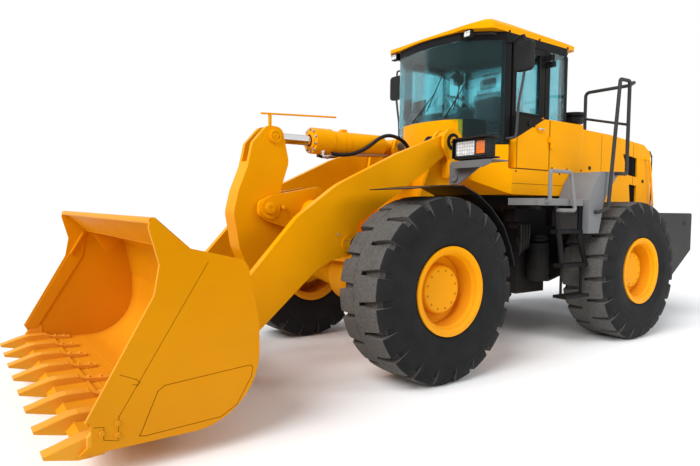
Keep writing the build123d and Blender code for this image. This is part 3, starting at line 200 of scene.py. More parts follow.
def clear_glass(name, low, high):
    """Tinted safety glass with faint smears that lets light into the cab."""
    f = Finish(name)
    smear = f.noise(3.0, 4.0)
    f.set(Base_Color=f.mix(smear, low, high), Roughness=0.0, IOR=1.33, Transmission_Weight=1.0,
          Specular_IOR_Level=0.5, Alpha=0.62)
    return f.material


def cab_paint(name, colour, deep, dark, where):
    """Enamel with a part left in another colour, chosen by where(finish): trim on the door, painted shade on
    the cab.
    """
    f = Finish(name)
    fine = f.noise(38.0, 5.0)
    base = f.mix(f.noise(1.7, 3.0).clamp(0.35, 0.7), colour, deep)
    f.set(Base_Color=f.mix(where(f), base, dark), Roughness=fine * 0.14 + 0.27, IOR=1.45,
          Specular_IOR_Level=0.10, Specular_Tint=ENAMEL_SHINE)
    return f.bump(f.noise(420.0, 2.0), 0.04, 0.0005).material


def above_belt(f):
    """The door's window frame and the slanted trim under its window."""
    return (f.axis(2) + f.axis(0) * 0.495).clamp(2.0235, 2.0245)


def behind_corner_glass(f):
    """Painted shade: near-black on the cowl's flanks that lie inside the corner windows and on the foot of
    the front post, standing in for the shaded cab inside.
    """
    aside = f.node("Math", "Value", {"operation": "ABSOLUTE"}, **{"0": f.axis(1)})
    return aside.clamp(0.478, 0.480) * f.axis(2).clamp(2.164, 2.166) * f.axis(0).clamp(-0.4505, -0.4495)


def lens(name, colour, dark, scale=55.0, glow=0.0):
    """Lamp lens with a grid of small reflectors."""
    f = Finish(name)
    cells = f.node("TexVoronoi", "Distance", {"feature": "F1"}, Vector=f.place, Scale=scale, Randomness=0.15)
    f.set(Base_Color=f.mix(cells.clamp(0.25, 0.6), colour, dark), Roughness=cells * 0.2 + 0.08,
          Coat_Weight=0.5)
    if glow:
        f.set(Emission_Color=f.mix(cells.clamp(0.2, 0.6), colour, dark), Emission_Strength=glow)
    return f.bump(cells, 0.4, 0.002).material


def weave(name):
    """Woven seat cloth."""
    f = Finish(name)
    warp, weft = (f.node("TexWave", "Fac", {"wave_type": "BANDS", "bands_direction": way}, Vector=f.place,
                         Scale=190.0) for way in "YZ")
    thread = warp * weft
    f.set(Base_Color=f.mix(thread, (0.012, 0.012, 0.014), (0.045, 0.045, 0.05)),
          Roughness=0.8 + thread * 0.15, Sheen_Weight=0.3)
    return f.bump(thread, 0.4, 0.0008).material


YELLOW = paint("loader_yellow", ENAMEL, ENAMEL_DEEP, dust=0.08)
DOOR_YELLOW = cab_paint("door_yellow", ENAMEL, ENAMEL_DEEP, (0.009, 0.0095, 0.010), above_belt)
# The cab's near-black part is painted shade on the cowl behind the corner windows.
CAB_YELLOW = cab_paint("cab_yellow", ENAMEL, ENAMEL_DEEP, (0.008, 0.008, 0.009), behind_corner_glass)
# Painted shade: the bucket's yellow is a darker copy of the enamel, standing in for the shade on the bucket;
# its dust and worn edges are real dirt and wear.
SHADED_BUCKET_YELLOW = paint("bucket_yellow_painted_shade", (0.70, 0.272, 0.002), (0.65, 0.25, 0.002), rough=0.42, dust=0.10,
                    worn=(0.62, 0.30, 0.05))
# Painted shade: dark brown for the thin lines that stand in for the shade along the edges of the bucket's
# plates.
PAINTED_SHADE_BROWN = paint("painted_shade_lines", (0.30, 0.105, 0.002), (0.24, 0.085, 0.002), rough=0.6)
RIM_YELLOW = paint("rim_yellow", (0.84, 0.335, 0.003), (0.77, 0.30, 0.003), rough=0.36, dust=0.2)
TOOTH_PAINT = paint("tooth_yellow", (0.84, 0.36, 0.012), (0.78, 0.32, 0.010), rough=0.42, dust=0.25,
                    worn=(0.30, 0.26, 0.20))
FRAME_GREY = paint("chassis_grey", (0.042, 0.041, 0.040), (0.032, 0.031, 0.031), rough=0.42, dust=0.12)
PLATE_GREY = paint("step_grey", (0.215, 0.213, 0.210), (0.175, 0.173, 0.171), rough=0.38, dust=0.2,
                   worn=(0.4, 0.39, 0.37))
STEP_PAINT = paint("step_fender_grey", (0.190, 0.194, 0.198), (0.150, 0.153, 0.157), rough=0.38, dust=0.1)
LADDER_BLACK = paint("ladder_black", (0.006, 0.006, 0.0065), (0.011, 0.011, 0.012), rough=0.5, dust=0.05)
BRACKET_GREY = paint("bracket_grey", (0.150, 0.151, 0.154), (0.120, 0.121, 0.124), rough=0.42, dust=0.08)
FRAME_BLACK = paint("frame_black", (0.006, 0.006, 0.0065), (0.010, 0.010, 0.011), rough=0.5, dust=0.12,
                    shine=0.1)
BLACK = plastic("black_plastic", (0.006, 0.006, 0.0065), (0.013, 0.013, 0.014))
TRIM_GREY = plastic("trim_grey", (0.040, 0.042, 0.045), (0.058, 0.060, 0.063), rough=0.45)
FENDER_BLACK = plastic("fender_black", (0.0065, 0.0068, 0.0075), (0.014, 0.014, 0.015), rough=0.36,
                       grain=500.0)
TYRE = rubber("tyre_rubber")
CHROME = metal("rod_chrome", (0.78, 0.78, 0.80), 0.10, amount=0.08)
STEEL = metal("pin_steel", (0.42, 0.41, 0.40), 0.38)
GLASS = clear_glass("cab_glass_tint", (0.10, 0.60, 0.69), (0.15, 0.64, 0.73))
MIRROR_GLASS = metal("mirror_face", (0.60, 0.64, 0.68), 0.08, amount=0.05)
CLOTH = weave("seat_cloth")
ENGINE_IRON = paint("engine_paint", (0.05, 0.05, 0.052), (0.03, 0.03, 0.032), rough=0.55, dust=0.4)
HOSE = plastic("hose_rubber", (0.006, 0.006, 0.007), (0.016, 0.016, 0.016), rough=0.36, grain=700.0)
LAMP_WHITE = lens("lamp_lens", (0.86, 0.88, 0.88), (0.38, 0.40, 0.42), 32.0, 0.25)
LAMP_AMBER = lens("amber_lens", (0.90, 0.22, 0.01), (0.45, 0.08, 0.005), 60.0, 0.1)
LAMP_RED = lens("red_lens", (0.60, 0.012, 0.012), (0.25, 0.005, 0.005), 60.0)
ROOF_LINING = plastic("cab_lining", (0.035, 0.036, 0.038), (0.055, 0.056, 0.058), rough=0.7)

NODE_FINISH = {
    YELLOW: ("boom", "rocker", "link", "front_chassis", "front_axle", "cab_roof",
             "hood", "rocker_pin", "link_pin", "tilt_barrel", "lift_barrels", "level_indicator"),
    CAB_YELLOW: ("cab_body",),
    DOOR_YELLOW: ("cab_door",),
    SHADED_BUCKET_YELLOW: ("bucket",),
    RIM_YELLOW: ("rim_front_left", "rim_front_right", "rim_rear_left", "rim_rear_right"),
    TOOTH_PAINT: ("bucket_teeth",),
    FRAME_GREY: ("counterweight", "handrails"),
    STEP_PAINT: ("rear_fenders",),
    LADDER_BLACK: ("ladders",),
    PLATE_GREY: ("platforms", "walkway_rails"),
    FRAME_BLACK: ("rear_chassis", "rear_axle", "cab_pillars", "side_tanks", "steer_barrel_left",
                  "steer_barrel_right", "rear_grille"),
    BLACK: ("headlamps", "mirrors", "air_cleaner", "driver_controls", "driver_seat", "roof_lamps",
            "side_grilles"),
    FENDER_BLACK: ("front_fenders",),
    LAMP_RED: ("tail_lamps",),
    TYRE: ("tyre_front_left", "tyre_front_right", "tyre_rear_left", "tyre_rear_right"),
    CHROME: ("lift_rods", "tilt_rod", "steer_rod_left", "steer_rod_right"),
    STEEL: ("bucket_pins", "tilt_base_pin", "tilt_stop_tube"),
    GLASS: ("cab_glass", "door_glass"),
    CLOTH: ("seat_cushions",),
    ENGINE_IRON: ("engine_block",),
}
FINISH_SLOT = {finish: slot for slot, finishes in {
    "yellow_paint": (YELLOW, SHADED_BUCKET_YELLOW, PAINTED_SHADE_BROWN, RIM_YELLOW),
    "black_plastic": (BLACK, TRIM_GREY, ROOF_LINING, HOSE, FRAME_BLACK),
    "dark_paint": (FRAME_GREY, PLATE_GREY, BRACKET_GREY, LADDER_BLACK),
    "tooth_steel": (TOOTH_PAINT, LAMP_AMBER),
    "rod_chrome": (CHROME, MIRROR_GLASS),
    "pin_steel": (STEEL,),
    "window_glass": (LAMP_WHITE,),
    "tyre_rubber": (TYRE,),
}.items() for finish in finishes}
for finish, names in NODE_FINISH.items():
    for name in names:
        NODES[name].data.materials.clear()
        NODES[name].data.materials.append(finish)


# ---- makers ----
def at(x, y, z):
    """A place in mm from the articulation, in the scene's metres."""
    return Vector(((x - MIDDLE_X) * MM, y * MM, z * MM))


class Shape:
    """A mesh under way, from places in mm."""

    def __init__(self):
        self.bm = bmesh.new()

    def ring_faces(self, rings, closed):
        """Faces between rows of vertices that each run round."""
        for a, b in zip(rings, rings[1:] + (rings[:1] if closed else [])):
            for i in range(len(a)):
                j = (i + 1) % len(a)
                corners = [a[i], a[j], b[j], b[i]]
                if len(set(corners)) > 2:
                    self.bm.faces.new(list(dict.fromkeys(corners)))

    def plate(self, rows, across, low, high):
        """An outline pulled from low to high. Across Y its rows are X, Z; Z: X, Y; X: Y, Z."""
        order = {"X": lambda a, b, d: (d, a, b), "Y": lambda a, b, d: (a, d, b),
                 "Z": lambda a, b, d: (a, b, d)}[across]
        ends = [[self.bm.verts.new(at(*order(a, b, d))) for a, b in rows] for d in (low, high)]
        self.ring_faces(ends, False)
        for end in ends:
            self.bm.faces.new(end)
        return self

    def block(self, x, y, z):
        """A box from its low and high X, Y and Z."""
        return self.plate([(x[0], z[0]), (x[1], z[0]), (x[1], z[1]), (x[0], z[1])], "Y", *y)

    def lathe(self, rows, centre, axis="Y", steps=48, closed=False):
        """(distance along the axis, radius) rows turned about an axis through centre."""
        rings = []
        for along, radius in rows:
            ring = []
            for k in range(1 if radius == 0 else steps):
                a = 2 * math.pi * k / steps
                u, v = radius * math.cos(a), radius * math.sin(a)
                offset = {"X": (along, u, v), "Y": (u, along, v), "Z": (u, v, along)}[axis]
                ring.append(self.bm.verts.new(at(*(c + o for c, o in zip(centre, offset)))))
            rings.append(ring * (steps if radius == 0 else 1))
        self.ring_faces(rings, closed)
        return self

    def rod(self, start, end, rows, steps=24):
        """(distance from start, radius) rows turned about the line from start towards end."""
        a, b = at(*start), at(*end)
        turn = (b - a).to_track_quat("Z", "Y").to_matrix()
        rings = []
        for along, radius in rows:
            turns = [2 * math.pi * k / steps for k in range(1 if radius == 0 else steps)]
            spots = [Vector((radius * math.cos(t), radius * math.sin(t), along)) * MM for t in turns]
            ring = [self.bm.verts.new(a + turn @ spot) for spot in spots]
            rings.append(ring * (steps if radius == 0 else 1))
        self.ring_faces(rings, False)
        return self

    def bolts(self, places, way, size):
        """Hexagon heads on washers; way is the direction they stick out, size across the flats."""
        flat = size / math.sqrt(3)
        washer = [(-1, flat * 1.35), (size * 0.12, flat * 1.35), (size * 0.12, 0)]
        head = [(0, flat), (size * 0.55, flat), (size * 0.65, flat * 0.85), (size * 0.65, 0)]
        for place in places:
            tip = tuple(p + w * size for p, w in zip(place, way))
            self.rod(place, tip, washer, 16)
            self.rod(place, tip, head, 6)
        return self

    def line(self, rows, y, width):
        """A thin strip along X, Z rows on a face at y, used for painted shade lines."""
        for (x0, z0), (x1, z1) in zip(rows, rows[1:]):
            along = Vector((x1 - x0, z1 - z0)).normalized() * (width / 2)
            side = Vector((-along.y, along.x))
            a, b = (x0 - along.x, z0 - along.y), (x1 + along.x, z1 + along.y)
            self.plate([(a[0] + side.x, a[1] + side.y), (a[0] - side.x, a[1] - side.y),
                        (b[0] - side.x, b[1] - side.y), (b[0] + side.x, b[1] + side.y)], "Y", y - 1, y + 0.3)
        return self

    def twin(self):
        """Adds the mirror image on the machine's other side."""
        whole = self.bm.faces[:] + self.bm.edges[:] + self.bm.verts[:]
        copied = bmesh.ops.duplicate(self.bm, geom=whole)["geom"]
        for vert in (g for g in copied if isinstance(g, bmesh.types.BMVert)):
            vert.co.y = -vert.co.y
        faces = [g for g in copied if isinstance(g, bmesh.types.BMFace)]
        bmesh.ops.reverse_faces(self.bm, faces=faces)
        return self

    def done(self, name, finish, body="rear_frame", bevel=0.0, soft=35, slot=None):
        """Ends the mesh as a piece that rides on a body; a slot, named or taken from its finish, is worked
        out but not given to the piece.
        """
        bmesh.ops.remove_doubles(self.bm, verts=self.bm.verts, dist=1e-6)
        bmesh.ops.recalc_face_normals(self.bm, faces=self.bm.faces)
        mesh = bpy.data.meshes.new(name)
        self.bm.to_mesh(mesh)
        self.bm.free()
        for face in mesh.polygons:
            face.use_smooth = True
        mesh.set_sharp_from_angle(angle=math.radians(soft))
        mesh.materials.append(finish)
        piece = bpy.data.objects.new(name, mesh)
        bpy.context.scene.collection.objects.link(piece)
        if bevel:
            edge = piece.modifiers.new("edge", "BEVEL")
            edge.width, edge.segments, edge.limit_method = bevel * MM, 2, "ANGLE"
            edge.angle_limit = math.radians(30)
        slot = slot or FINISH_SLOT[finish]
        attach(piece, body)
        return piece


def hose(name, places, radius, body, finish=HOSE, side=1):
    """A smooth hose or bent tube near its places, or near their mirror image where side is -1."""
    curve = bpy.data.curves.new(name, "CURVE")
    curve.dimensions = "3D"
    curve.bevel_depth, curve.bevel_resolution, curve.use_fill_caps = radius * MM, 4, True
    curve.resolution_u = 8
    line = curve.splines.new("NURBS")
    line.points.add(len(places) - 1)
    for point, (x, y, z) in zip(line.points, places):
        point.co = (*at(x, side * y, z), 1)
    line.use_endpoint_u, line.order_u = True, 3
    curve.materials.append(finish)
    piece = bpy.data.objects.new(name, curve)
    bpy.context.scene.collection.objects.link(piece)
    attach(piece, body)


# ---- wheels ----
LUGS = 20                           # on each side of the tread
CARCASS = [(0, 752), (205, 750), (252, 722), (277, 660), (287, 600), (288, 560), (285, 500), (283, 497),
           (281, 492), (276, 440), (264, 402), (252, 386), (248, 384), (248, 345)]
# rows of (distance from the tyre's middle, radius)
LUG_TOP = [(36, 800), (120, 800), (205, 797), (240, 787), (259, 766), (273, 715), (281, 668), (284, 640)]
LUG_FOOT = [(36, 735), (120, 735), (205, 735), (222, 730), (236, 712), (250, 680), (265, 652), (276, 632)]
HUB_BOLTS, HUB_BOLT_RING = 12, 167


def tyre(name, x, y):
    """Carcass, a middle band and two rows of wide staggered lugs."""
    s = Shape()
    s.lathe(CARCASS + [(-a, r) for a, r in CARCASS[:0:-1]], (x, y, TYRE_RADIUS), "Y", 120, True)
    s.lathe([(44, 740), (44, 794), (38, 799), (-38, 799), (-44, 794), (-44, 740)], (x, y, TYRE_RADIUS),
            "Y", 120)
    pitch = 2 * math.pi / LUGS
    for side in (1, -1):
        for k in range(LUGS):
            middle = (k + (0.25 if side > 0 else 0.75)) * pitch
            rows = []
            for (top_y, top_r), (foot_y, foot_r) in zip(LUG_TOP, LUG_FOOT):
                # the gap between two lugs is narrow beside the band and wide at the shoulder
                open_share = 0.115 + 0.15 * min(1.0, (top_y - 36) / 205)
                half = pitch / 2 * (1 - open_share)
                lean = 0.012 * side * (top_y - 130) / 130
                across = []
                for r, away, spread in ((foot_r, foot_y, 1.05), (top_r, top_y, 1.0)):
                    turns = [middle + lean + half * spread * t for t in (-1, -0.5, 0, 0.5, 1)]
                    across.append([s.bm.verts.new(at(x + r * math.cos(a), y + side * away,
                                                     TYRE_RADIUS + r * math.sin(a))) for a in turns])
                rows.append(across)
            for (foot_a, top_a), (foot_b, top_b) in zip(rows, rows[1:]):
                for i in range(4):
                    s.bm.faces.new([top_a[i], top_a[i + 1], top_b[i + 1], top_b[i]])
                for i in (0, 4):
                    s.bm.faces.new([foot_a[i], top_a[i], top_b[i], foot_b[i]])
            for foot, top in (rows[0], rows[-1]):
                for i in range(4):
                    s.bm.faces.new([foot[i], foot[i + 1], top[i + 1], top[i]])
    piece = s.done(f"lugged_{name}", TYRE, name.replace("tyre", "wheel"), bevel=5, soft=28)
    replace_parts(piece, name)


def wheel_trim(name, x, y, side):
    """Flange lips, lock ring, hub face with its ring of bolts, and the valve."""
    s, hub = Shape(), y + side * 150
    place = (x, y, TYRE_RADIUS)

    def out(rows):
        return [(side * a, r) for a, r in rows]

    s.lathe(out([(236, 352), (262, 357), (269.5, 364), (269.5, 376), (262, 380.5), (256, 380.5)]), place,
            "Y", 96)
    s.lathe(out([(206, 318), (228, 326), (244, 338), (244, 344), (236, 346), (212, 330)]), place,
            "Y", 96, True)
    s.lathe(out([(30, 303), (56, 303), (62, 297), (62, 288), (56, 282)]), place, "Y", 96)
    s.lathe(out([(56, 216), (120, 212), (134, 207), (145, 199), (149.5, 192), (149.5, 0)]), place,
            "Y", 64)
    screws = Shape()
    for a in (2 * math.pi * (k + 0.5) / HUB_BOLTS for k in range(HUB_BOLTS)):
        spot = (x + HUB_BOLT_RING * math.cos(a), hub, TYRE_RADIUS + HUB_BOLT_RING * math.sin(a))
        tip = (spot[0], hub + side, spot[2])
        s.rod(spot, tip, [(-2, 15), (0.5, 15), (0.5, 10), (-2, 10)], 20)
        screws.rod(spot, tip, [(-2, 9), (0.3, 9), (0.3, 5), (-1.5, 4), (-1.5, 0)], 12)
    screws.done(f"hub_screws_{name}", FRAME_BLACK, f"wheel_{name}", slot="pin_steel")
    s.rod((x + 300, y + side * 60, TYRE_RADIUS + 20), (x + 310, y + side * 130, TYRE_RADIUS + 24),
          [(0, 7), (60, 7), (62, 4), (75, 4), (75, 0)], 12)
    s.done(f"wheel_trim_{name}", RIM_YELLOW, f"wheel_{name}", bevel=1.5)


for end, x in (("front", WHEEL_X), ("rear", -WHEEL_X)):
    for hand, side in (("left", 1), ("right", -1)):
        tyre(f"tyre_{end}_{hand}", x, side * WHEEL_Y)
        wheel_trim(f"{end}_{hand}", x, side * WHEEL_Y, side)


# ---- bucket ----
BUCKET_HALF, BUCKET_FLOOR_TOP = 1480, 180.5
TEETH, TEETH_SPAN = 8, 2800
TOOTH_WIDE, TOOTH_NARROW, SHANK_HALF = 52, 40, 40
WEAR_PLATE = [(4090, 196), (4122, 204), (4108, 226), (4018, 438), (3978, 465), (3488, 499), (3442, 500),
              (3428, 484), (3436, 430), (3534, 268), (3640, 212)]


def bucket_details():
    """Painted shade lines round the plates on the sides, strips along the front edges, gussets, floor seams
    and bolts.
    """
    face = BUCKET_HALF
    s = Shape()
    # painted shade: thin dark lines along the edges of the plates and strips on each side
    s.line(WEAR_PLATE + WEAR_PLATE[:1], face, 5)
    s.line([(3720, 1162), (4230, 333), (4234, 208)], face, 4)
    s.line([(4223, 566), (4139, 527), (4117, 507), (4128, 491), (4155, 502)], face, 4)
    s.line([(4356, 300), (4307, 293), (4308, 222), (4231, 200)], face, 4)
    s.twin()
    s.done("bucket_painted_shade_lines", PAINTED_SHADE_BROWN, "bucket")
    s = Shape()
    # strip along the side's front edge and the bead at its root
    s.plate([(3838, 1240), (3870, 1236), (4006, 1000), (4372, 352), (4396, 330), (4380, 300), (4288, 300),
             (3876, 985)], "Y", face - 34, face - 26)
    s.plate([(3862, 1206), (3880, 1216), (3996, 1010), (3984, 996)], "Y", face - 60, face - 24)
    s.twin()
    s.done("bucket_side_strips", SHADED_BUCKET_YELLOW, "bucket", bevel=2)
    s = Shape()
    # gussets in the top corners and seams across the floor
    s.plate([(3560, 1150), (3820, 1205), (3700, 1010)], "Y", face - 230, face - 218)
    s.twin()
    for x in (3900, 4085):
        s.block((x, x + 7), (-face + 26, face - 26), (BUCKET_FLOOR_TOP - 2, BUCKET_FLOOR_TOP + 2.5))
    s.done("bucket_seams", SHADED_BUCKET_YELLOW, "bucket", bevel=1)
    s = Shape()
    s.bolts([(4236, face, 300), (4318, face, 262), (4236, face, 236)], (0, 1, 0), 30)
    s.twin()
    for vert in s.bm.verts:
        vert.co.y *= (face - 10) / face
    s.done("bucket_side_bolts", SHADED_BUCKET_YELLOW, "bucket")


def tooth_details():
    """Shaped tips, adapter shanks along the lip with their bolts, and guards at the corners."""
    wide = TOOTH_WIDE
    shanks, tips = Shape(), Shape()
    for i in range(TEETH):
        y = -TEETH_SPAN / 2 + i * (TEETH_SPAN / (TEETH - 1))
        shanks.plate([(4010, 182), (4016, 203), (4180, 220), (4236, 246), (4366, 249), (4366, 180)], "Y",
                     y - SHANK_HALF, y + SHANK_HALF)
        shanks.bolts([(4060, y, 204), (4140, y, 213)], (0.06, 0, 1), 22)
        rings = []
        for x, low, high, w in ((4355, 128, 247, wide), (4400, 128, 245, wide), (4470, 139, 227, wide - 3),
                                (4540, 158, 205, wide - 7), (4596, 172, 186, TOOTH_NARROW)):
            corners = ((-1, low), (1, low), (1, high), (-1, high))
            rings.append([tips.bm.verts.new(at(x, y + a * w, z)) for a, z in corners])
        tips.ring_faces(rings, False)
        tips.bm.faces.new(rings[0])
        tips.bm.faces.new(rings[-1])
        end = wide + 4
        tips.rod((4378, y - end, 190), (4378, y + end, 190), [(0, 0), (0, 13), (2 * end, 13), (2 * end, 0)],
                 12)
    shanks.done("tooth_shanks", TOOTH_PAINT, "bucket", bevel=5)
    tips.done("tooth_tips", TOOTH_PAINT, "bucket", bevel=5)
    guard = Shape()
    guard.plate([(4170, 182), (4392, 170), (4392, 250), (4330, 322), (4262, 326), (4246, 306), (4246, 250),
                 (4170, 214)], "Y", BUCKET_HALF - 30, BUCKET_HALF - 0.4)
    guard.twin()
    guard.done("corner_guards", TOOTH_PAINT, "bucket", bevel=4)


bucket_details()
tooth_details()


# ---- linkage and front frame ----
BOOM_PIN, BUCKET_PIN, ROCKER_PIN = (850, 2160), (3240, 440), (2627, 1477)
ROD_PIN, LINK_PIN, TILT_BASE, LIFT_EYE = (2550, 2130), (2508, 691), (1060, 2140), (2084, 1167)
GLAND_BOLTS, GLAND_BOLT_RING, GLAND_FACE = 10, 107, 1052
LAMP_Y, LAMP_Z, LAMP_X, LAMP_ROUND = (790, 1190), (1982, 2144), (850, 955), 26


def pin_cap(name, pin, y, radius, body, finish):
    """A pin's end on its boss: a raised ring, a face and two bolts."""
    ring, face = Shape(), Shape()
    x, z = pin
    ring.lathe([(y - 2, radius), (y + 9, radius), (y + 12, radius - 4), (y + 12, radius * 0.66),
                (y + 4, radius * 0.64)], (x, 0, z), "Y", 40)
    face.lathe([(y - 1, radius * 0.62), (y + 7, radius * 0.60), (y + 9, radius * 0.54), (y + 9, 16),
                (y + 5, 14), (y + 5, 0)], (x, 0, z), "Y", 32)
    face.bolts([(x - radius * 0.38, y + 8, z + 6), (x + radius * 0.38, y + 8, z - 6)], (0, 1, 0), 15)
    ring.twin().done(f"{name}_ring", finish, body, bevel=1, slot="yellow_paint")
    face.twin().done(f"{name}_face", finish, body, slot="pin_steel")


def tilt_cylinder_head():
    """Bolted gland, wiper, ports and pipe clamps of the cylinder between the tower and the rocker."""
    start, end = (TILT_BASE[0], 0, TILT_BASE[1]), (ROD_PIN[0], 0, ROD_PIN[1])
    s = Shape()
    s.rod(start, end, [(1040, 125), (1049, 125), (1052, 121), (1052, 92), (1062, 90), (1066, 86), (1066, 62),
                       (1072, 60), (1072, 53), (1050, 53)], 48)
    s.rod(start, end, [(836, 118), (838, 127), (846, 127.5), (850, 126)], 48)
    for along in (640, 705):
        s.rod(start, end, [(along, 112.5), (along, 117), (along + 26, 117), (along + 26, 112.5)], 48)
    s.block((1700, 1760), (-28, 28), (2246, 2270))
    s.done("tilt_gland", YELLOW, "tilt_barrel", bevel=1.5)
    bolts = Shape()
    for k in range(GLAND_BOLTS):
        a = 2 * math.pi * (k + 0.5) / GLAND_BOLTS
        bolts.bolts([(TILT_BASE[0] + GLAND_FACE, GLAND_BOLT_RING * math.cos(a),
                      TILT_BASE[1] - 7 + GLAND_BOLT_RING * math.sin(a))], (1, 0, 0), 20)
    bolts.done("tilt_gland_bolts", STEEL, "tilt_barrel")
    wiper = Shape()
    wiper.rod(start, end, [(1070, 60), (1076, 58), (1078, 53.5), (1068, 53)], 40)
    wiper.done("tilt_wiper", BLACK, "tilt_barrel")
    port = Shape()
    port.rod((2010, 60, 2040), (2010, 60, 1990), [(-40, 26), (20, 26), (20, 19), (46, 19), (46, 0)], 24)
    port.rod((1990, 60, 1985), (1930, 60, 1985), [(-34, 20), (20, 20), (20, 24), (48, 24), (48, 0)], 24)
    port.done("tilt_ports", CHROME, "tilt_barrel", bevel=1)


def front_hoses():
    """Pipes along the tilt cylinder, and hoses bent between it, the tower and the frame."""
    for side in (1, -1):
        hose(f"tilt_pipe_{side}", [(1210, 70, 2040), (1400, 72, 2032), (1700, 70, 2032),
                                   (1935, 62, 1988)], 11, "tilt_barrel", STEEL, side)
        hose(f"tilt_hose_{side}", [(1950, 130, 2012), (1808, 138, 1990), (1564, 150, 2067), (1330, 160, 2250),
                                   (1107, 175, 2215), (994, 180, 2106), (960, 180, 2000)], 19, "front_frame",
             side=side)
    for k, y in enumerate((-330, -270, 270, 330)):
        hose(f"tower_hose_{k}", [(960, y, 1940), (900, y, 2120), (840, y, 2240), (780, y, 2240),
                                 (740, y, 2120), (730, y, 1900)], 17, "front_frame")


def boom_details():
    """Pin ends, the rocker's pivot cap and the grease fittings on the arms."""
    for name, pin, y, radius, body, finish in (
            ("boom_pivot", BOOM_PIN, 661, 84, "front_frame", FRAME_BLACK),
            ("bucket_hinge", BUCKET_PIN, 611, 78, "boom", YELLOW),
            ("rod_eye", ROD_PIN, 112, 60, "rocker", YELLOW),
            ("rocker_foot", LINK_PIN, 101, 62, "rocker", YELLOW)):
        pin_cap(name, pin, y, radius, body, finish)
    boss = Shape()
    boss.lathe([(185, 53), (190, 52), (192, 48), (192, 22), (189, 20), (189, 0)],
               (ROCKER_PIN[0], 0, ROCKER_PIN[1]), "Y", 40)
    boss.bolts([(ROCKER_PIN[0] - 132, 175, ROCKER_PIN[1] + 8)], (0, 1, 0), 34)
    boss.twin().done("rocker_pivot_cap", YELLOW, "boom")
    fittings = Shape()
    for x, z in ((BOOM_PIN[0] + 90, BOOM_PIN[1] - 40), (LIFT_EYE[0] + 120, LIFT_EYE[1] + 90),
                 (BUCKET_PIN[0] - 130, BUCKET_PIN[1] + 110)):
        fittings.rod((x, 609, z), (x, 640, z), [(0, 9), (6, 9), (8, 6), (16, 6), (18, 4), (22, 4), (24, 0)],
                     12)
    fittings.twin().done("grease_fittings", STEEL, "boom")


def front_lights():
    """Headlamps with gridded lenses, turn lamps, visors and their bent brackets."""
    shell = Shape()
    (y0, y1), (z0, z1), r = LAMP_Y, LAMP_Z, LAMP_ROUND
    shell.plate([(y0 + r, z0), (y1 - r, z0), (y1 - 8, z0 + 8), (y1, z0 + r), (y1, z1 - r), (y1 - 8, z1 - 8),
                 (y1 - r, z1), (y0 + r, z1), (y0 + 8, z1 - 8), (y0, z1 - r), (y0, z0 + r), (y0 + 8, z0 + 8)],
                "X", *LAMP_X)
    for z, x_tip in ((2150, 1022), (1962, 985)):
        shell.plate([(850, 782), (x_tip - 60, 782), (x_tip - 14, 800), (x_tip, 850), (x_tip, 1190),
                     (x_tip - 14, 1236), (x_tip - 60, 1256), (850, 1256)], "Z", z, z + 15)
    for low, high in ((782, 790), (1190, 1200)):
        shell.plate([(low, 1975), (high, 1975), (high, 2152), (low, 2152)], "X", 850, 990)
    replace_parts(shell.twin().done("headlamp_shells", BLACK, "front_frame", bevel=5),
                "headlamps")
    lens = Shape()
    lens.plate([(826, 2000), (1036, 2000), (1046, 2012), (1046, 2122), (1036, 2134), (826, 2134), (816, 2122),
                (816, 2012)], "X", 950, 964)
    lens.twin().done("headlamp_lenses", LAMP_WHITE, "front_frame", bevel=4)
    amber = Shape()
    amber.plate([(1074, 2006), (1168, 2006), (1176, 2016), (1176, 2118), (1168, 2128), (1074, 2128),
                 (1066, 2118), (1066, 2016)], "X", 950, 964)
    amber.twin().done("turn_lenses", LAMP_AMBER, "front_frame", bevel=4)
    bezel = Shape()
    for y0, y1 in ((806, 1056), (1058, 1184)):
        for a, b, c, d in ((y0, y1, 1988, 1998), (y0, y1, 2132, 2142), (y0, y0 + 9, 1988, 2142),
                           (y1 - 9, y1, 1988, 2142)):
            bezel.plate([(a, c), (b, c), (b, d), (a, d)], "X", 948, 968)
    bezel.twin().done("headlamp_bezels", TRIM_GREY, "front_frame", bevel=2)
    bracket = Shape()
    bracket.plate([(760, 1950), (1232, 1950), (1262, 1925), (1262, 1912), (1160, 1880), (800, 1880),
                   (760, 1905)], "X", 968, 978)
    bracket.plate([(740, 760), (965, 760), (965, 1262), (740, 1262)], "Z", 1936, 1950)
    bracket.plate([(661, 1936), (661, 1732), (780, 1732), (1050, 1890), (1050, 1936)], "X", 876, 894)
    bracket.lathe([(892, 44), (908, 44), (912, 38), (912, 18), (906, 16), (906, 0)], (0, 735, 1800), "X", 28)
    bracket.twin().done("headlamp_brackets", BRACKET_GREY, "front_frame", bevel=3)


tilt_cylinder_head()
front_hoses()
boom_details()
front_lights()


# ---- cab ----
BODY_HALF, CAB_HALF, ROOF_Z, RING_Z = 875, 800, 3330, 3240
SEAT_PADS = (("seat", (-455, 10), (-232, 232), (2263, 2375)),
             ("back", (-460, -352), (-225, 225), (2382, 2926)),
             ("headrest", (-450, -367), (-130, 130), (2937, 3093)))
PAD_SHRINK, PAD_EDGE, PAD_VOXEL, PAD_SWELL = 24, 0.022, 0.014, 0.016
CLOTH_FRAMES, CLOTH_PRESSURE = 20, 4.0


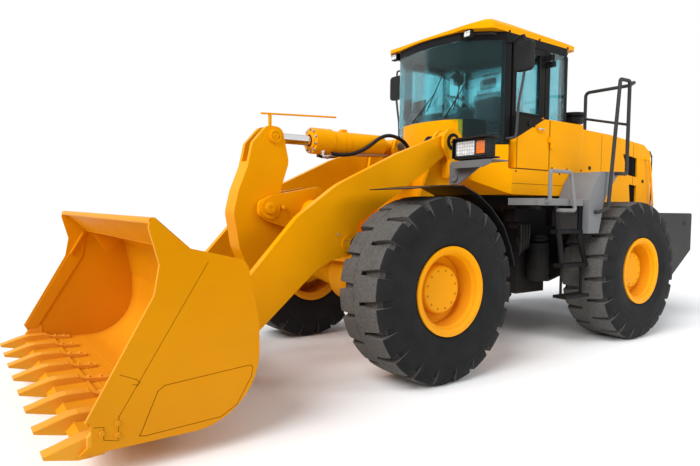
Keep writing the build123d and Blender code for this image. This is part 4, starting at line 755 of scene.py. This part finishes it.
def cushion(name, x, y, z):
    """A seat pad as it fills with foam: blown up a little as cloth, then smoothed."""
    bpy.ops.mesh.primitive_cube_add(size=1, location=at(sum(x) / 2, sum(y) / 2, sum(z) / 2))
    pad = bpy.context.object
    pad.name = f"cushion_{name}"
    pad.scale = tuple((high - low - PAD_SHRINK) * MM for low, high in (x, y, z))
    bpy.ops.object.transform_apply(scale=True)
    edge = pad.modifiers.new("edge", "BEVEL")
    edge.width, edge.segments = PAD_EDGE, 3
    voxels = pad.modifiers.new("skin", "REMESH")
    voxels.mode, voxels.voxel_size = "VOXEL", PAD_VOXEL
    for modifier in ("edge", "skin"):
        bpy.ops.object.modifier_apply(modifier=modifier)
    rest = [v.co.copy() for v in pad.data.vertices]
    cloth = pad.modifiers.new("fill", "CLOTH")
    cloth.settings.use_pressure = True
    cloth.settings.uniform_pressure_force = CLOTH_PRESSURE
    cloth.settings.effector_weights.gravity = 0.0
    cloth.point_cache.frame_start, cloth.point_cache.frame_end = 1, CLOTH_FRAMES
    for step in range(1, CLOTH_FRAMES + 1):
        bpy.context.scene.frame_set(step)
    shaped = pad.evaluated_get(bpy.context.evaluated_depsgraph_get()).data
    blown = [v.co.copy() for v in shaped.vertices]
    pad.modifiers.remove(cloth)
    for vert, old, new in zip(pad.data.vertices, rest, blown):
        move = new - old
        vert.co = old + move * min(1.0, PAD_SWELL / max(move.length, 1e-6))
    bpy.context.scene.frame_set(1)
    smooth = pad.modifiers.new("smooth", "SUBSURF")
    smooth.levels = smooth.render_levels = 1
    for face in pad.data.polygons:
        face.use_smooth = True
    pad.data.materials.append(CLOTH)
    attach(pad, "rear_frame")
    return pad


def driver_place():
    """Seat cushions, the lever console with its monitor, the dashboard's hood and a fan."""
    for row in SEAT_PADS:
        pad = cushion(*row)
        if row[0] == "headrest":
            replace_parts(pad, "seat_cushions")
    s = Shape()
    s.plate([(-300, 2380), (60, 2400), (90, 2440), (80, 2500), (-60, 2525), (-300, 2520)], "Y", -420, -300)
    for x in (-60, -10, 40):
        s.rod((x, -360, 2510), (x + 20, -360, 2640),
              [(0, 9), (90, 7), (96, 19), (120, 23), (138, 17), (144, 0)], 20)
    s.plate([(300, 2560), (330, 2560), (300, 2790), (270, 2790)], "Y", -560, -350)
    s.rod((330, -430, 2430), (300, -440, 2600), [(0, 14), (175, 14)], 16)
    s.done("lever_console", BLACK, bevel=6)
    dash = Shape()
    dash.plate([(225, 2440), (330, 2600), (455, 2560), (520, 2470), (520, 2440)], "Y", -400, 400)
    dash.done("dash_hood", TRIM_GREY, bevel=14)
    fan = Shape()
    fan.lathe([(0, 62), (20, 66), (34, 62), (40, 20), (40, 0)], (430, 330, 2880), "X", 32)
    fan.rod((440, 330, 2880), (440, 330, 2990), [(60, 8), (120, 8)], 12)
    fan.done("cab_fan", BLACK, bevel=2)


def cab_roof_details():
    """Dark lining, lamp lenses, seams across the roof and bolts along its left side."""
    s = Shape()
    s.plate([(-940, -730), (380, -730), (560, -520), (600, 0), (560, 520), (380, 730), (-940, 730)], "Z",
            RING_Z + 60, RING_Z + 72)
    s.done("roof_lining", ROOF_LINING)
    lamp, low, high = Shape(), ROOF_Z - 66, ROOF_Z - 12
    lamp.plate([(543, low), (621, low), (621, high), (543, high)], "X", 598, 603)
    lamp.twin().done("roof_lamp_lenses", LAMP_WHITE, bevel=2)
    seam = Shape()
    for x in (-560, -120, 300):
        seam.block((x - 3, x + 3), (-640, 640), (ROOF_Z + 60, ROOF_Z + 66))
    seam.bolts([(x, CAB_HALF + 1, ROOF_Z + 8) for x in (-820, -300, 200)], (0, 1, 0), 16)
    seam.done("roof_seams", FRAME_BLACK)


def windscreen_wipers():
    """Two arms at the foot of the windscreen with their blades."""
    s = Shape()
    for base, tip, low, high in (((668, -150, 2462), (655, 210, 2760), (652, 60, 2560), (660, 330, 2960)),
                                 ((640, 330, 2462), (618, 520, 2700), (620, 430, 2530), (616, 560, 2900))):
        s.rod(base, tip, [(0, 14), (24, 14), (30, 8), (300, 6), (420, 4)], 10)
        s.rod(low, high, [(0, 5), (440, 5)], 8)
    s.done("wipers", BLACK)


def door_and_side():
    """Door seal, catch and pull handle, and the cab side's seams and bolts."""
    seal = Shape()
    for x0, x1, z0, z1 in ((-337, -323, 2518, 3182), (73, 87, 2518, 3182), (-337, 87, 2518, 2532),
                           (-337, 87, 3168, 3182)):
        seal.block((x0, x1), (CAB_HALF - 2, CAB_HALF + 5), (z0, z1))
    seal.done("door_seal", BLACK, "cab_door", bevel=2)
    catch = Shape()
    catch.lathe([(872, 30), (884, 30), (888, 26), (888, 12), (884, 10), (884, 0)], (-75, 0, 2402), "Y", 32)
    catch.lathe([(872, 13), (882, 13), (883, 10), (883, 0)], (-150, 0, 2385), "Y", 20)
    catch.done("door_catch", BLACK, "cab_door")
    pull = Shape()
    pull.rod((-300, 893, 2360), (-200, 893, 2360),
             [(-6, 0), (-6, 8), (0, 10), (100, 10), (106, 8), (106, 0)], 16)
    pull.done("door_pull", CHROME, "cab_door")
    seams = Shape()
    for x, z in (((-431, -425), (1932, 2476)), ((126, 132), (1932, 2476)), ((-1060, 240), (1918, 1924)),
                 ((-1060, 200), (1764, 1768))):
        seams.block(x, (BODY_HALF - 2, BODY_HALF + 1), z)
    upper, lower = ((-1040, -760, -480), 1955), ((-980, -620, 140), 1895)
    seams.bolts([(x, BODY_HALF, z) for xs, z in (upper, lower) for x in xs], (0, 1, 0), 13)
    seams.twin().done("cab_seams", FRAME_BLACK)


def rounded(low, high, radius, steps=5):
    """A rectangle's outline with round corners, from its low and high corners."""
    rows = []
    left, right = low[0] + radius, high[0] - radius
    bottom, top = low[1] + radius, high[1] - radius
    for cx, cz, turn in ((right, top, 0), (left, top, 90), (left, bottom, 180), (right, bottom, 270)):
        for k in range(steps + 1):
            a = math.radians(turn + 90 * k / steps)
            rows.append((cx + radius * math.cos(a), cz + radius * math.sin(a)))
    return rows


def door_mirrors():
    """Round-cornered heads with their glass, on bent tubes that serve as grab rails."""
    head, face = Shape(), Shape()
    head.plate(rounded((893, RING_Z - 348), (1107, RING_Z - 44), 46), "X", 178, 226)
    face.plate(rounded((905, RING_Z - 336), (1095, RING_Z - 56), 38), "X", 174, 179)
    shell = head.twin().done("mirror_heads", BLACK, bevel=9)
    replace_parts(shell, "mirrors")
    face.twin().done("mirror_faces", MIRROR_GLASS, bevel=1)
    for side in (1, -1):
        hose(f"mirror_arm_{side}", [(200, CAB_HALF, RING_Z - 25), (200, 850, RING_Z - 20),
                                    (200, 960, RING_Z + 24), (200, 1002, RING_Z + 8),
                                    (200, 1000, RING_Z - 90)], 11, "rear_frame", BLACK, side)
        hose(f"grab_rail_{side}", [(200, 1000, RING_Z - 340), (200, 975, RING_Z - 500), (202, 938, 2600),
                                   (205, 930, 2420), (212, 928, 2260), (212, 905, 2228),
                                   (212, CAB_HALF, 2232)], 14, "rear_frame", TRIM_GREY, side)


driver_place()
cab_roof_details()
windscreen_wipers()
door_and_side()
door_mirrors()


# ---- hood, deck and counterweight ----
HOOD_HALF, PLATFORM_Z, VENT_MESH = 660, 1610, 26
HOOD_VENTS = (((-2334, 2250), (-2699, 2206), (-2716, 1948), (-2478, 1971)),
              ((-2507, 1850), (-2702, 1834), (-2698, 1585), (-2546, 1594)))


def hood_details():
    """Vent mesh, panel seams, latches, black corner strips and the tall rear handles."""
    mesh = Shape()
    for corners in HOOD_VENTS:
        xs, zs = [x for x, _ in corners], [z for _, z in corners]
        x0, x1, z0, z1 = min(xs), max(xs), min(zs), max(zs)
        for x in (x0 + i * VENT_MESH for i in range(int((x1 - x0) / VENT_MESH))):
            mesh.block((x + 14, x + 18), (632, 640), (z0 + 4, z1 - 4))
        for z in (z0 + i * VENT_MESH for i in range(int((z1 - z0) / VENT_MESH))):
            mesh.block((x0 + 4, x1 - 4), (632, 638), (z + 14, z + 18))
    mesh.twin().done("vent_mesh", FRAME_BLACK)
    seams = Shape()
    for x, z0, z1 in ((-1820, 1960, 2450), (-2600, 1700, 2390)):
        seams.block((x - 3, x + 3), (HOOD_HALF - 2, HOOD_HALF + 0.8), (z0, z1))
    seams.twin().done("hood_seams", FRAME_BLACK)
    latches = Shape()
    for x, z in ((-1560, 2020), (-2240, 1980), (-2860, 1900)):
        latches.lathe([(658, 24), (666, 24), (670, 20), (670, 9), (666, 7), (666, 0)], (x, 0, z), "Y", 24)
    latches.twin().done("hood_latches", BLACK)
    strip = Shape()
    strip.plate([(-3086, 1560), (-3106, 1560), (-3106, 2260), (-3040, 2330), (-3020, 2330), (-3086, 2240)],
                "Y", 655, 664)
    strip.twin().done("hood_corner_strip", FRAME_BLACK, bevel=2)
    for side in (1, -1):
        hose(f"hood_handle_{side}", [(-2890, 655, 2207), (-2898, 712, 2207), (-2925, 722, 2180),
                                     (-3030, 722, 1600), (-3056, 712, 1560), (-3058, 655, 1556)],
             14, "rear_frame", YELLOW, side)


def air_intake():
    """Pre-cleaner bowl with its clamp, and the collar on the exhaust."""
    s = Shape()
    s.lathe([(2560, 74), (2566, 80), (2590, 80), (2596, 74)], (-1600, 380, 0), "Z", 40)
    s.lathe([(2604, 126), (2612, 130), (2682, 131), (2690, 128), (2694, 152), (2704, 161), (2722, 160),
             (2731, 148), (2738, 60), (2742, 30), (2742, 0)], (-1600, 380, 0), "Z", 48)
    s.lathe([(2590, 64), (2598, 70), (2640, 70), (2648, 64)], (-1750, -330, 0), "Z", 40)
    s.done("precleaner_bowl", BLACK, bevel=1)


def ladder_treads():
    """Raised rings that give grip on the ladders' treads and the deck."""
    s = Shape()
    for x0, x1, y0, y1, z in ((-680, -245, 1102, 1213, 925), (-592, -168, 1102, 1196, 1285),
                              (-682, -258, 1092, 1238, 590)):
        count = int((x1 - x0) / 34)
        for i in range(count):
            x = x0 + (i + 0.5) * (x1 - x0) / count
            for y in (y0 + 12, (y0 + y1) / 2, y1 - 12):
                s.lathe([(z - 1, 11), (z + 3, 10), (z + 3, 6), (z - 1, 5)], (x, y, 0), "Z", 10)
    s.twin().done("tread_grip", LADDER_BLACK)
    deck = Shape()
    for i in range(12):
        for j in range(6):
            x, y = -570 + i * 52 + (26 if j % 2 else 0), 905 + j * 50
            if x < 255 - (y - 880) * 0.53 - 30:
                deck.lathe([(-1, 15), (3, 14), (3, 8), (-1, 7)], (x, y, PLATFORM_Z), "Z", 10)
    deck.twin().done("deck_grip", PLATE_GREY)


def weight_bolts():
    """Rims of the two bolt holes on each side of the counterweight."""
    rims = Shape()
    for x, z in ((-2700, 1330), (-3250, 1330)):
        rims.lathe([(1058, 34), (1064, 34), (1066, 30), (1066, 22), (1059, 20)], (x, 0, z), "Y", 28)
    rims.twin().done("weight_bolt_rims", FRAME_GREY)


def belly():
    """Filter, valve, tray and hoses that hang under the walkway beside the frame."""
    s = Shape()
    s.lathe([(1130, 60), (1142, 104), (1168, 104), (1180, 92), (1210, 92), (1214, 60), (1214, 0)],
            (-450, 745, 0), "Z", 40)
    s.lathe([(690, 0), (690, 84), (700, 108), (716, 117)], (-450, 745, 0), "Z", 40)
    for z in (800, 1020):
        s.lathe([(z, 118), (z, 122), (z + 26, 122), (z + 26, 118)], (-450, 745, 0), "Z", 40)
    s.block((-150, 60), (700, 820), (1360, 1500))
    s.block((-120, 30), (716, 830), (1290, 1350))
    ports = [-120 + 45 * k for k in range(4)]
    for x in ports:
        s.rod((x, 826, 1330), (x, 870, 1330), [(0, 15), (26, 15), (28, 10), (40, 10), (40, 0)], 16)
    s.block((-640, 200), (876, 900), (1500, 1536))
    s.twin().done("belly_parts", FRAME_BLACK, bevel=3, slot="dark_paint")
    for side in (1, -1):
        for k, x in enumerate(ports):
            hose(f"belly_hose_{side}_{k}", [(x, 868, 1330), (x + 10, 880, 1200 - 30 * k),
                                            (x - 60, 800, 1060 - 30 * k), (x - 190, 690, 1080),
                                            (x - 230, 640, 1180)], 13, "rear_frame", side=side)


def side_lamp(name, x, y, z):
    """Small amber marker on the walkway's edge."""
    s = Shape()
    s.lathe([(y - 1, 22), (y + 4, 22), (y + 9, 15), (y + 9, 0)], (x, 0, z), "Y", 24)
    s.twin().done(name, LAMP_AMBER, "rear_frame", slot="tooth_steel")


hood_details()
belly()
side_lamp("deck_marker", -30, 1190, 1575)
air_intake()
ladder_treads()
weight_bolts()


# ---- floor, light and camera ----
SOFT_LIGHT, SUN, SIDE_FILL, ROOM_FILL = 0.42, 3.7, 190, 14
SENSOR_WIDTH, LENS = 36.0, 28.984
YAW, PITCH, ROLL = (math.radians(a) for a in (234.4416, -2.6547, 0.7003))
CAMERA_PLACE = (4.976 - MIDDLE_X * MM, 4.680, 1.499)


def backdrop():
    """A pale floor that the camera sees as white, with the loader's shadow kept."""
    f = Finish("floor_white")
    bpy.ops.mesh.primitive_plane_add(size=120, location=(0, 0, 0))
    floor = bpy.context.object
    floor.name = "floor"
    f.set(Base_Color=f.mix(f.noise(0.4), (0.93, 0.93, 0.93), (0.95, 0.95, 0.95)), Roughness=0.7)
    floor.data.materials.append(f.material)


def world_light():
    """Soft light all round; the camera, mirrors and clear pieces see plain white behind the loader."""
    world = bpy.data.worlds.new("studio")
    bpy.context.scene.world = world
    world.use_nodes = True
    nodes, links = world.node_tree.nodes, world.node_tree.links
    path = nodes.new("ShaderNodeLightPath")
    seen = path.outputs["Is Camera Ray"]
    for ray in ("Is Glossy Ray", "Is Transmission Ray"):
        either = nodes.new("ShaderNodeMath")
        either.operation = "MAXIMUM"
        links.new(seen, either.inputs[0])
        links.new(path.outputs[ray], either.inputs[1])
        seen = either.outputs[0]
    soft = nodes["Background"]
    soft.inputs["Color"].default_value = (0.93, 0.96, 1.0, 1)
    soft.inputs["Strength"].default_value = SOFT_LIGHT
    white = nodes.new("ShaderNodeBackground")
    white.inputs["Color"].default_value = (1, 1, 1, 1)
    white.inputs["Strength"].default_value = 1.0
    mix = nodes.new("ShaderNodeMixShader")
    links.new(seen, mix.inputs[0])
    links.new(soft.outputs[0], mix.inputs[1])
    links.new(white.outputs[0], mix.inputs[2])
    links.new(mix.outputs[0], nodes["World Output"].inputs["Surface"])


def lamp(name, kind, energy, place, aim, size):
    """A sun or a square area light; only the sun shows in mirrors and glass."""
    data = bpy.data.lights.new(name, kind)
    data.energy = energy
    if kind == "AREA":
        data.shape, data.size = "SQUARE", size
    else:
        data.angle = size
    made = bpy.data.objects.new(name, data)
    made.location = place
    made.visible_camera = made.visible_glossy = made.visible_transmission = kind == "SUN"
    made.rotation_euler = (Vector(aim) - Vector(place)).to_track_quat("-Z", "Y").to_euler()
    bpy.context.scene.collection.objects.link(made)


def camera():
    """The view from the front left, a little above the wheels' tops."""
    data = bpy.data.cameras.new("view")
    data.sensor_width, data.lens = SENSOR_WIDTH, LENS
    made = bpy.data.objects.new("view", data)
    ahead = Vector((math.cos(YAW) * math.cos(PITCH), math.sin(YAW) * math.cos(PITCH), math.sin(PITCH)))
    right = ahead.cross(Vector((0, 0, 1))).normalized()
    up = right.cross(ahead)
    side = right * math.cos(ROLL) + up * math.sin(ROLL)
    top = up * math.cos(ROLL) - right * math.sin(ROLL)
    turn = Matrix((side, top, -ahead)).transposed().to_4x4()
    made.matrix_world = Matrix.Translation(CAMERA_PLACE) @ turn
    bpy.context.scene.collection.objects.link(made)
    bpy.context.scene.camera = made


camera()
backdrop()
world_light()
lamp("sun_soft", "SUN", SUN, (8, 1.3, 7.4), (0, 0, 0.5), 0.8)
lamp("cab_side_fill", "AREA", SIDE_FILL, (-2.6, 6.8, 4.6), (-1.6, 0.8, 2.0), 3.0)
lamp("cab_room", "AREA", ROOM_FILL, (-0.75, 0.1, 3.2), (-0.70, 0.1, 2.0), 0.9)
bpy.context.scene.view_settings.view_transform = "Standard"
